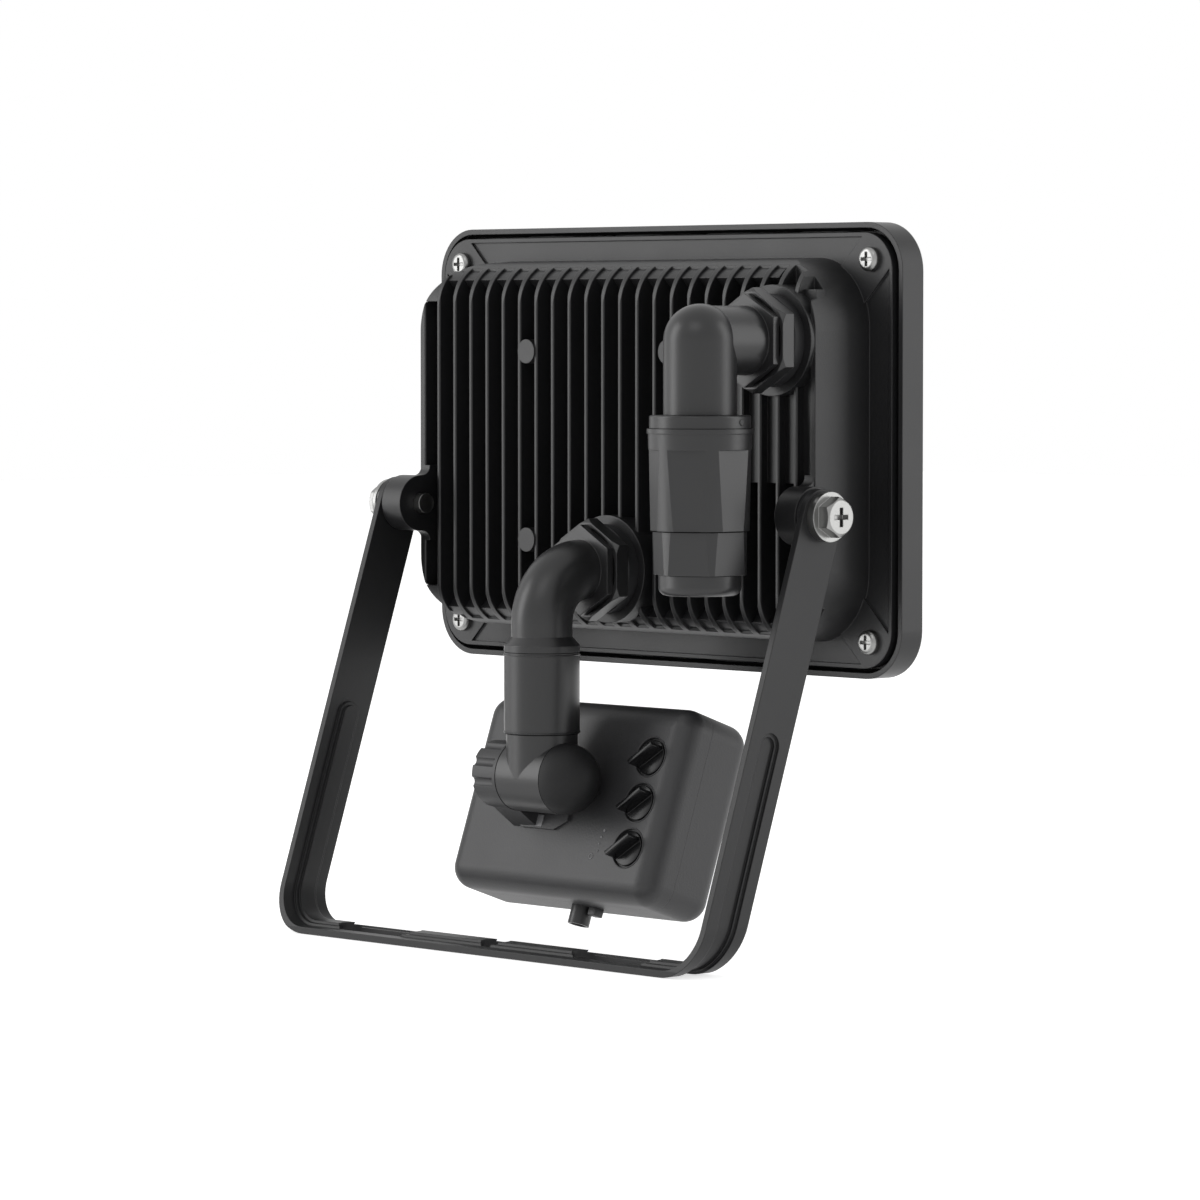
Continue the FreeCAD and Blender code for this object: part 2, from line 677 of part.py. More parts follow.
def locknut(x, z):
    """Hexagon nut with a sunk face round the collar."""
    nut = hexagon(LOCKNUT_AF, LOCKNUT, 90)
    corner = LOCKNUT_AF / math.sqrt(3)
    cone = Part.makeCone(corner + LOCKNUT - 1.2, corner - 1.2, LOCKNUT)
    nut = nut.common(cone)
    bore = rod(SPIGOT_R + THREAD_CLEARANCE, vec(0, 0, -1), Z, LOCKNUT + 2)
    recess = rod(NUT_RECESS_R, vec(0, 0, LOCKNUT - NUT_RECESS), Z, 2)
    seat = rod(SPIGOT_R + 1.5, vec(0, 0, 0), Z, LOCKNUT)
    nut = nut.cut(recess.cut(seat)).cut(bore)
    return placed(nut, vec(x, LOCKNUT_Y, z), Y)


def inlet_end(x, z):
    """Threaded spigot and hexagon collar shared by both elbows."""
    spigot = rod(SPIGOT_R, vec(x, CAVITY_Y, z), Y, COLLAR_Y - CAVITY_Y)
    collar = placed(hexagon(COLLAR_AF, COLLAR, 90), vec(x, COLLAR_Y, z), Y)
    return spigot.fuse(collar)


def supply_elbow():
    """Hollow right-angle elbow from the upper pad down to the connector."""
    corner = vec(SUPPLY_X, SUPPLY_Y, SUPPLY_Z)
    body = inlet_end(SUPPLY_X, SUPPLY_Z)
    stub = rod(STUB_R, vec(SUPPLY_X, STUB_Y, SUPPLY_Z), Y, SUPPLY_Y - STUB_Y)
    tube = rod(TUBE_R, corner, -Z, SUPPLY_Z - CAP_TOP)
    knee = Part.makeSphere(TUBE_R, corner)
    tail = rod(SPIGOT_R, corner, -Z, SUPPLY_Z - RING_BOTTOM + 8)
    body = body.fuse([stub, tube, knee, tail])
    bores = [
        rod(TUBE_BORE, vec(SUPPLY_X, 0, SUPPLY_Z), Y, SUPPLY_Y),
        rod(TUBE_BORE, corner, -Z, 60),
        Part.makeSphere(TUBE_BORE, corner),
    ]
    return body.cut(bores)


def connector_cap():
    """Cap ring under the elbow with a lock dot on its side."""
    ring = rod(CAP_R, vec(SUPPLY_X, SUPPLY_Y, RING_TOP), Z, CAP_HEIGHT)
    ring = ring.makeFillet(0.5, [e for e in ring.Edges if e.Vertexes[0].Z > CAP_TOP - 0.1 and e.Closed])
    hole = rod(SPIGOT_R + THREAD_CLEARANCE, vec(SUPPLY_X, SUPPLY_Y, RING_TOP - 1), Z, CAP_HEIGHT + 2)
    way = vec(-0.987, -0.164, 0)
    middle = vec(SUPPLY_X, SUPPLY_Y, RING_TOP + CAP_HEIGHT / 2)
    dot = rod(0.9, middle + way * (CAP_R - 1), way, 1.25)
    return ring.cut(hole).fuse(dot)


def connector_body():
    """Tapered sleeve with a thin flange and six flats."""
    axis = vec(SUPPLY_X, SUPPLY_Y, 0)
    slope = (BODY_TOP_R - BODY_END_R) / (RING_BOTTOM - BODY_BOTTOM)
    mid_r = BODY_TOP_R - slope * (RING_BOTTOM - FLATS_TOP)
    ring = rod(RING_R, axis + Z * RING_BOTTOM, Z, RING_HEIGHT)
    upper = Part.makeCone(mid_r, BODY_TOP_R, RING_BOTTOM - FLATS_TOP, axis + Z * FLATS_TOP)
    lower = Part.makeCone(BODY_END_R, mid_r, FLATS_TOP - BODY_BOTTOM, axis + Z * BODY_BOTTOM)
    lower = lower.common(placed(hexagon(FLATS_AF, 40, 90), axis + Z * BODY_BOTTOM, Z))
    body = ring.fuse([upper, lower])
    socket = rod(SPIGOT_R + THREAD_CLEARANCE, axis + Z * (RING_BOTTOM - 8), Z, 20)
    bore = rod(PLUG_BORE, axis + Z * (BODY_BOTTOM - 1), Z, RING_BOTTOM - BODY_BOTTOM - 7)
    return body.cut([socket, bore])


def contact_block():
    """Insulating block that holds the contacts inside the connector."""
    axis = vec(SUPPLY_X, SUPPLY_Y, 0)
    block = rod(PLUG_BORE - THREAD_CLEARANCE, axis + Z * -16.0, Z, 11)
    holes = []
    for k in range(3):
        angle = math.radians(90 + 120 * k)
        spot = axis + vec(4.6 * math.cos(angle), 4.6 * math.sin(angle), -17.0)
        holes.append(rod(1.2, spot, Z, 15))
    return block.cut(holes)


def contact_pins():
    """Three contact pins in the block."""
    pins = []
    for k in range(3):
        angle = math.radians(90 + 120 * k)
        spot = vec(SUPPLY_X + 4.6 * math.cos(angle), SUPPLY_Y + 4.6 * math.sin(angle), -18.5)
        pins.append(rod(1.2 - THREAD_CLEARANCE / 2, spot, Z, 14.5))
    return Part.makeCompound(pins)


def tapered_hexagon(top_af, end_af, top, bottom):
    """Hexagonal taper on the connector axis with flats towards the sides."""
    wires = []
    for across, z in ((top_af, top), (end_af, bottom)):
        reach = across / math.sqrt(3)
        points = []
        for k in range(7):
            angle = math.radians(90 + 60 * k)
            points.append(vec(SUPPLY_X + reach * math.cos(angle), SUPPLY_Y + reach * math.sin(angle), z))
        wires.append(Part.makePolygon(points))
    return Part.makeLoft(wires, True, True)


def gland_body():
    """Hexagonal gland piece screwed into the connector, with a threaded nose."""
    axis = vec(SUPPLY_X, SUPPLY_Y, 0)
    body = tapered_hexagon(GLAND_TOP_AF, GLAND_END_AF, BODY_BOTTOM, GLAND_BOTTOM)
    reach = GLAND_TOP_AF / math.sqrt(3) - 0.9
    body = body.common(rod(reach, axis + Z * GLAND_BOTTOM, Z, 20))
    tail = rod(PLUG_BORE - THREAD_CLEARANCE, axis + Z * BODY_BOTTOM, Z, 3)
    nose = rod(GLAND_NUT_R - 2.2, axis + Z * (GLAND_BOTTOM - 3), Z, 4)
    bore = rod(CABLE_R + 2, axis + Z * (GLAND_BOTTOM - 5), Z, 30)
    return body.fuse([tail, nose]).cut(bore)


def gland_seal():
    """Rubber sleeve squeezed round the cable inside the gland."""
    axis = vec(SUPPLY_X, SUPPLY_Y, GLAND_BOTTOM - 3)
    sleeve = rod(CABLE_R + 2 - THREAD_CLEARANCE, axis, Z, 9)
    return sleeve.cut(rod(CABLE_R, axis - Z, Z, 11))


def gland_nut():
    """Round-nosed nut that closes the gland."""
    height = GLAND_BOTTOM - GLAND_NUT_BOTTOM
    nut = rod(GLAND_NUT_R, vec(SUPPLY_X, SUPPLY_Y, GLAND_NUT_BOTTOM), Z, height)
    nut = nut.makeFillet(2.4, [e for e in nut.Edges if e.Closed and e.Vertexes[0].Z < GLAND_NUT_BOTTOM + 0.1])
    pocket = rod(GLAND_NUT_R - 2.2 + THREAD_CLEARANCE, vec(SUPPLY_X, SUPPLY_Y, GLAND_BOTTOM - 3), Z, 10)
    entry = rod(CABLE_R, vec(SUPPLY_X, SUPPLY_Y, GLAND_NUT_BOTTOM - 1), Z, 10)
    return nut.cut([pocket, entry])


# Sensor arm
def elbow_path(radius, extra):
    """Round bar through the bend of the sensor elbow."""
    turn_y = ARM_Y - ELBOW_BEND
    turn_z = SENSOR_Z - ELBOW_BEND
    disc = Part.Face(Part.Wire(Part.makeCircle(radius, vec(0, turn_y, SENSOR_Z), Y)))
    bend = disc.revolve(vec(0, turn_y, turn_z), -X, 90)
    stub = rod(radius, vec(0, turn_y - extra, SENSOR_Z), Y, extra)
    drop = rod(radius, vec(0, ARM_Y, turn_z), -Z, turn_z - FLARE_TOP)
    return bend.fuse([stub, drop])


def sensor_elbow():
    """Smooth bent pipe from the lower pad with a flared foot and swivel spigot."""
    pipe = elbow_path(ELBOW_R, ARM_Y - ELBOW_BEND - STUB_Y)
    flare = Part.makeCone(SLEEVE_R, ELBOW_R, (FLARE_TOP - SLEEVE_TOP) * 0.55, vec(0, ARM_Y, SLEEVE_TOP + 2.0))
    foot = rod(SLEEVE_R, vec(0, ARM_Y, SLEEVE_TOP), Z, 2.0)
    spigot = rod(SWIVEL_R, vec(0, ARM_Y, SWIVEL_END), Z, SLEEVE_TOP - SWIVEL_END)
    body = inlet_end(0, SENSOR_Z).fuse([pipe, flare, foot, spigot])
    body = body.fuse(rod(ELBOW_R, vec(0, ARM_Y, SLEEVE_TOP), Z, FLARE_TOP - SLEEVE_TOP))
    way = elbow_path(ELBOW_BORE, 40)
    down = rod(ELBOW_BORE, vec(0, ARM_Y, SWIVEL_END - 1), Z, FLARE_TOP - SWIVEL_END + 1)
    groove = rod(SWIVEL_R + 1, vec(0, ARM_Y, CLIP_Z - CLIP), Z, CLIP + 0.02)
    groove = groove.cut(rod(SWIVEL_R - 1, vec(0, ARM_Y, CLIP_Z - CLIP - 1), Z, CLIP + 3))
    return body.cut([way, down, groove])


def swivel_clip():
    """Retaining ring in the groove of the swivel spigot."""
    ring = rod(SWIVEL_R + 1.3, vec(0, ARM_Y, CLIP_Z - CLIP), Z, CLIP)
    ring = ring.cut(rod(SWIVEL_R - 1 + THREAD_CLEARANCE, vec(0, ARM_Y, CLIP_Z - CLIP - 1), Z, CLIP + 2))
    return ring.cut(box(-2.2, 2.2, ARM_Y, ARM_Y + 12, CLIP_Z - 3, CLIP_Z + 3))


def swivel_sleeve():
    """Turning sleeve round the spigot, wider inside below its shelf."""
    height = SLEEVE_TOP - SLEEVE_BOTTOM
    sleeve = rod(SLEEVE_R, vec(0, ARM_Y, SLEEVE_BOTTOM), Z, height)
    bore = rod(SWIVEL_R + SWIVEL_CLEARANCE, vec(0, ARM_Y, SLEEVE_BOTTOM - 1), Z, height + 2)
    pocket = rod(SWIVEL_R + 1.8, vec(0, ARM_Y, SLEEVE_BOTTOM - 1), Z, CLIP_Z - SLEEVE_BOTTOM + 1)
    return sleeve.cut([bore, pocket])


def knuckle():
    """Neck with a cross barrel, domed at one end and flat at the seam."""
    neck = rod(NECK_R, vec(0, ARM_Y, TILT_Z), Z, SLEEVE_BOTTOM - TILT_Z)
    plug = rod(SWIVEL_R + 1.8 - THREAD_CLEARANCE, vec(0, ARM_Y, SLEEVE_BOTTOM), Z, 5)
    barrel = rod(BARREL_R, vec(DOME_X, ARM_Y, TILT_Z), X, SEAM_X - DOME_X)
    dome = Part.makeSphere(BARREL_R, vec(DOME_X, ARM_Y, TILT_Z))
    body = neck.fuse([plug, barrel, dome])
    side = box(SEAM_X, 20, ARM_Y - 15, ARM_Y + 15, TILT_Z - 15, SLEEVE_BOTTOM - 1)
    bore = rod(ELBOW_BORE, vec(0, ARM_Y, TILT_Z + 4), Z, 30)
    thread = rod(TILT_PIN_R + THREAD_CLEARANCE, vec(-8, ARM_Y, TILT_Z), X, 30)
    return body.cut([side, bore, thread])


# Sensor head in its own upright frame, origin on the tilt axis
def lean_back(shape):
    """Leans an upright sensor piece back and moves it to the tilt axis."""
    result = shape.copy()
    result.rotate(vec(0, 0, 0), X, LEAN)
    result.translate(vec(0, ARM_Y, TILT_Z))
    return result


def head_block():
    """Outer form of the sensor head."""
    return rounded_block((HEAD_RIGHT, HEAD_LEFT), (FRONT_Y, REAR_Y), (HEAD_BOTTOM, HEAD_TOP), HEAD_R)


def head_shell():
    """Whole hollow shell of the sensor head."""
    wall = HEAD_WALL
    inner = rounded_block((HEAD_RIGHT + wall, HEAD_LEFT - wall), (FRONT_Y + wall, REAR_Y - wall),
                          (HEAD_BOTTOM + wall, HEAD_TOP - wall), HEAD_R - wall)
    return head_block().cut(inner)


def knob_heights():
    """Heights of the three dials."""
    return [KNOB_Z + k * KNOB_PITCH for k in (1, 0, -1)]


def head_screw_spots():
    """Corner positions of the shell screws."""
    return [(x, z) for x in (HEAD_RIGHT + 6.5, HEAD_LEFT - 6.5) for z in (HEAD_TOP - 5.4, HEAD_BOTTOM + 5.4)]


def sensor_rear_shell():
    """Rear half of the shell with ear, saddle, dial seats and screw bosses."""
    shell = head_shell().common(box(-60, 60, SPLIT_Y, 0, -60, 60))
    ear = rod(EAR_R, vec(SEAM_X, 0, 0), X, EAR_END - SEAM_X)
    flutes = []
    for k in range(7):
        angle = math.radians(-30 + 35 * k)
        spot = vec(SEAM_X + 2, (EAR_R + 0.6) * math.cos(angle), (EAR_R + 0.6) * math.sin(angle))
        flutes.append(rod(1.5, spot, X, EAR_END))
    ear = ear.cut(flutes)
    web = [vec(SEAM_X, REAR_Y - 1, -13), vec(SEAM_X, REAR_Y - 1, 11), vec(SEAM_X, 0, 9), vec(SEAM_X, 0, -9)]
    saddle = [vec(25.6, REAR_Y - 1, -7.7), vec(15.1, REAR_Y - 1, -12.9), vec(1.6, REAR_Y - 1, -12.9),
              vec(-3.5, REAR_Y - 1, -10.0), vec(-3.5, REAR_Y - 1, 8.0), vec(22.0, REAR_Y - 1, 8.0)]
    adds = [ear, prism(web, vec(EAR_END - SEAM_X, 0, 0)), prism(saddle, vec(0, 2, 0))]
    for x, z in head_screw_spots():
        adds.append(rod(3.2, vec(x, SPLIT_Y, z), Y, REAR_Y - SPLIT_Y - 1).common(head_block()))
    shell = shell.fuse(adds)
    cuts = [rod(TILT_PIN_R + PIVOT_CLEARANCE, vec(0, 0, 0), X, 30),
            rod(TILT_HEAD_R + 0.3, vec(EAR_END - TILT_HEAD, 0, 0), X, 10)]
    for z in knob_heights():
        cuts.append(rod(KNOB_SEAT_R, vec(KNOB_X, REAR_Y - KNOB_SEAT, z), Y, 3))
        cuts.append(rod(KNOB_STEM_R + 0.4, vec(KNOB_X, REAR_Y - 5, z), Y, 8))
    for x, z in head_screw_spots():
        cuts.append(rod(1.4 + THREAD_CLEARANCE, vec(x, SPLIT_Y - 1, z), Y, 8))
    return lean_back(shell.cut(cuts))


def sensor_front_shell():
    """Front half of the shell with lens opening, cell hole and screw wells."""
    shell = head_shell().common(box(-60, 60, -60, SPLIT_Y, -60, 60))
    adds = []
    for x, z in head_screw_spots():
        adds.append(rod(3.6, vec(x, FRONT_Y, z), Y, SPLIT_Y - FRONT_Y).common(head_block()))
    shell = shell.fuse(adds)
    cuts = [rod(LENS_R, vec(0, FRONT_Y - 1, LENS_Z), Y, 5)]
    cuts.append(rod(CELL_R, vec(TUBE_X, CELL_Y, HEAD_BOTTOM - 1), Z, 5))
    for x, z in head_screw_spots():
        cuts.append(rod(2.7, vec(x, FRONT_Y - 1, z), Y, 5))
        cuts.append(rod(1.4 + THREAD_CLEARANCE, vec(x, FRONT_Y - 1, z), Y, 30))
    return lean_back(shell.cut(cuts))


def fresnel_lens():
    """Domed thin lens with a flat rim behind the front wall."""
    big = (LENS_R ** 2 + LENS_RISE ** 2) / (2 * LENS_RISE)
    centre = vec(0, FRONT_Y - LENS_RISE + big, LENS_Z)
    dome = Part.makeSphere(big, centre).common(rod(LENS_R, vec(0, FRONT_Y, LENS_Z), -Y, 20))
    skirt = rod(LENS_R, vec(0, FRONT_Y, LENS_Z), Y, HEAD_WALL)
    rim = rod(LENS_R + LENS_RIM, vec(0, FRONT_Y + HEAD_WALL, LENS_Z), Y, LENS_T)
    inside = rod(LENS_R - LENS_T, vec(0, FRONT_Y + 5, LENS_Z), -Y, 30)
    hollow = Part.makeSphere(big - LENS_T, centre).common(inside)
    well = rod(LENS_R - LENS_T, vec(0, FRONT_Y + 5, LENS_Z), -Y, 6)
    well = well.fuse(hollow)
    return lean_back(dome.fuse([skirt, rim]).cut(well))


def sensor_board():
    """Circuit board across the sensor head."""
    board = box(-37, 37, BOARD_Y, BOARD_Y + BOARD_T, -21.0, 17.6)
    return lean_back(board)


def pir_detector():
    """Round metal detector can behind the lens."""
    can = rod(4.6, vec(0, BOARD_Y - 4.2, LENS_Z), Y, 4.2)
    window = box(-2, 2, BOARD_Y - 6, BOARD_Y - 4.0, LENS_Z - 1.5, LENS_Z + 1.5)
    return lean_back(can.cut(window))


def potentiometers():
    """Three square trimmers under the dials."""
    top = BOARD_Y + BOARD_T + POT_HEIGHT
    bodies = []
    for z in knob_heights():
        body = box(KNOB_X - 5, KNOB_X + 5, BOARD_Y + BOARD_T, top, z - 5, z + 5)
        bodies.append(body.cut(rod(KNOB_STEM_R + STEM_CLEARANCE, vec(KNOB_X, top - 4, z), Y, 10)))
    return lean_back(Part.makeCompound(bodies))


def relay():
    """Sealed relay on the circuit board."""
    y = BOARD_Y + BOARD_T
    return lean_back(box(6, 25, y, y + 9.5, -14, 1))


def photocell_tube():
    """Short tube under the sensor head that lets light to the cell."""
    length = HEAD_BOTTOM + HEAD_WALL - CELL_END
    tube = rod(CELL_R - THREAD_CLEARANCE, vec(TUBE_X, CELL_Y, CELL_END), Z, length)
    rim = rod(CELL_R + 1, vec(TUBE_X, CELL_Y, HEAD_BOTTOM + HEAD_WALL), Z, 1)
    bore = rod(CELL_R - 0.9, vec(TUBE_X, CELL_Y, CELL_END - 1), Z, 20)
    return lean_back(tube.fuse(rim).cut(bore))


def photocell():
    """Light cell inside its tube."""
    return lean_back(rod(CELL_R - 0.9 - THREAD_CLEARANCE, vec(TUBE_X, CELL_Y, CELL_END + 3), Z, 7))


def sensor_screws():
    """Four long screws that close the sensor head from the front."""
    screw = pan_screw(2.4, 1.6, 1.4, 20)
    spots = head_screw_spots()
    return lean_back(Part.makeCompound([placed(screw, vec(x, FRONT_Y + 4, z), -Y) for x, z in spots]))


def dial(z, turn):
    """Dial with a half-moon grip and a stem into its trimmer."""
    base = REAR_Y - KNOB_SEAT
    disc = rod(KNOB_R, vec(KNOB_X, base, z), Y, KNOB_DISC)
    grip = rod(KNOB_R - 0.7, vec(KNOB_X, base, z), Y, KNOB_DISC + KNOB_GRIP)
    half = box(KNOB_X - 10, KNOB_X + 10, base, base + 5, z - 10, z - 0.4)
    half.rotate(vec(KNOB_X, base, z), Y, turn)
    grip = grip.common(half)
    stem = rod(KNOB_STEM_R, vec(KNOB_X, BOARD_Y + BOARD_T + POT_HEIGHT - 3, z), Y, 12)
    stem = stem.common(box(-60, 60, -60, base + 0.5, -60, 60))
    return lean_back(disc.fuse([grip, stem]))


def tilt_screw():
    """Screw through the ear into the barrel."""
    screw = pan_screw(TILT_HEAD_R, TILT_HEAD, TILT_PIN_R, EAR_END - TILT_HEAD + 7)
    return placed(screw, vec(EAR_END - TILT_HEAD, ARM_Y, TILT_Z), X)


def build():
    """Writes every piece."""
    export("bracket", bracket())
    export("heatsink_housing", heatsink_housing())
    export("front_bezel", front_bezel())
    export("front_glass", front_glass())
    export("glass_gasket", glass_gasket())
    export("reflector", reflector())
    export("led_board", led_board())
    export("led_array", led_array())
    export("driver_components", driver_components())
    export("board_screws", board_screws())
    export("corner_screws", corner_screws())
    export("pivot_bolts", pivot_bolts())
    export("bolt_washers", washer_pair(ARM_OUTER, BOLT_WASHER, BOLT_WASHER_R))
    export("friction_washers", washer_pair(LUG_END, FRICTION_WASHER, LUG_R - 0.6))
    export("supply_gasket", inlet_gasket(SUPPLY_X, SUPPLY_Z))
    export("supply_locknut", locknut(SUPPLY_X, SUPPLY_Z))
    export("supply_elbow", supply_elbow())
    export("connector_cap", connector_cap())
    export("connector_body", connector_body())
    export("contact_block", contact_block())
    export("contact_pins", contact_pins())
    export("gland_body", gland_body())
    export("gland_seal", gland_seal())
    export("gland_nut", gland_nut())
    export("sensor_gasket", inlet_gasket(0, SENSOR_Z))
    export("sensor_locknut", locknut(0, SENSOR_Z))
    export("sensor_elbow", sensor_elbow())
    export("swivel_clip", swivel_clip())
    export("swivel_sleeve", swivel_sleeve())
    export("knuckle", knuckle())
    export("tilt_screw", tilt_screw())
    export("sensor_rear_shell", sensor_rear_shell())
    export("sensor_front_shell", sensor_front_shell())
    export("fresnel_lens", fresnel_lens())
    export("sensor_board", sensor_board())
    export("pir_detector", pir_detector())
    export("potentiometers", potentiometers())
    export("relay", relay())
    export("photocell_tube", photocell_tube())
    export("photocell", photocell())
    export("sensor_screws", sensor_screws())
    for name, z, turn in zip(("range_knob", "time_knob", "light_knob"), knob_heights(), (35, 35, 35)):
        export(name, dial(z, turn))


build()
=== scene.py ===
import json
import logging
import math
from dataclasses import dataclass
from enum import Enum

import bpy
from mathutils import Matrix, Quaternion, Vector


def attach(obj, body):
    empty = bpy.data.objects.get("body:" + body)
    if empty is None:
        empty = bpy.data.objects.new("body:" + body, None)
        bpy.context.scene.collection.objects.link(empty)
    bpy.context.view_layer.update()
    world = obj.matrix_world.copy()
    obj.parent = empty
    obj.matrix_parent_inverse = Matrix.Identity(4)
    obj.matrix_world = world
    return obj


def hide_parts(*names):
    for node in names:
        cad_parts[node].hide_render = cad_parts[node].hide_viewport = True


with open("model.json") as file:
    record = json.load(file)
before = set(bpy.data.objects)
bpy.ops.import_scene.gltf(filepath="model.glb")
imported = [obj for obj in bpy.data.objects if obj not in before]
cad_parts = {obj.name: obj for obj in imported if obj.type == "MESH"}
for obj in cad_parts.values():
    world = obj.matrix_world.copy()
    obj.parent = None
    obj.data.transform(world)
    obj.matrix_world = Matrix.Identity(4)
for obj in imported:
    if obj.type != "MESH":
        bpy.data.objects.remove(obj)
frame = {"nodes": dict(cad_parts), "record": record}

LOG = logging.getLogger("floodlight")
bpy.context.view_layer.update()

# Sizes of the pieces below are in millimetres, and Blender works in metres.
MM_PER_M = 1000
ACROSS = Vector((1, 0, 0))
REARWARD = Vector((0, 1, 0))
UP = Vector((0, 0, 1))
UPPER_AND_LOWER = (1, -1)


class Body(Enum):
    """CAD bodies that pieces ride on."""

    HEAD = "head"
    ARM = "sensor_arm"
    SENSOR = "sensor_head"
    RANGE = "range_dial"
    TIME = "time_dial"
    LIGHT = "light_dial"


@dataclass(frozen=True)
class Finish:
    """One surface: colour, sheen and fine relief."""

    name: str
    color: tuple[float, float, float]
    roughness: float
    metallic: float = 0.0
    specular: float = 0.5
    grain: float = 0.0
    grain_scale: float = 3000.0
    mottle: float = 0.04
    transmission: float = 0.0
    edge: float = 0.35


FINISHES = (
    Finish("casting_paint", (0.0075, 0.0075, 0.008125), 0.40, specular=0.43,
           grain=0.25, grain_scale=2600, mottle=0.05),
    Finish("bracket_paint", (0.01, 0.01, 0.01063), 0.44, specular=0.34, grain=0.2, grain_scale=2800),
    Finish("bezel_paint", (0.0125, 0.0125, 0.01313), 0.38, specular=0.38, grain=0.12, grain_scale=3200),
    Finish("window_glass", (0.9, 0.93, 0.92), 0.03, transmission=0.9, mottle=0.0),
    Finish("black_rubber", (0.012, 0.012, 0.013), 0.6, specular=0.3, grain=0.15),
    Finish("reflector_white", (0.8, 0.8, 0.8), 0.3),
    Finish("white_board", (0.82, 0.82, 0.8), 0.3),
    Finish("phosphor", (0.85, 0.68, 0.15), 0.35),
    Finish("chip_black", (0.02, 0.02, 0.02), 0.5),
    Finish("zinc_steel", (0.27, 0.27, 0.265), 0.3, metallic=1.0, grain=0.1, grain_scale=1500),
    Finish("black_plastic", (0.0125, 0.0125, 0.01313), 0.34, specular=0.48, grain=0.06, grain_scale=1800),
    Finish("contact_brass", (0.75, 0.56, 0.28), 0.3, metallic=1.0),
    Finish("sensor_plastic", (0.02375, 0.02375, 0.025), 0.46, specular=0.46,
           grain=0.5, grain_scale=1500, mottle=0.08),
    Finish("lens_white", (0.8, 0.8, 0.78), 0.35, transmission=0.15),
    Finish("green_board", (0.02, 0.16, 0.07), 0.3),
    Finish("knob_gloss", (0.006, 0.006, 0.0065), 0.26, specular=0.26, grain=0.03),
    Finish("dial_mark", (0.16, 0.16, 0.165), 0.5),
    Finish("seam_shadow", (0.002, 0.002, 0.002), 0.9, specular=0.05, mottle=0.0, edge=0.05),
    Finish("dome_matt", (0.006, 0.006, 0.0065), 0.6, specular=0.3, grain=0.3, grain_scale=1800),
)


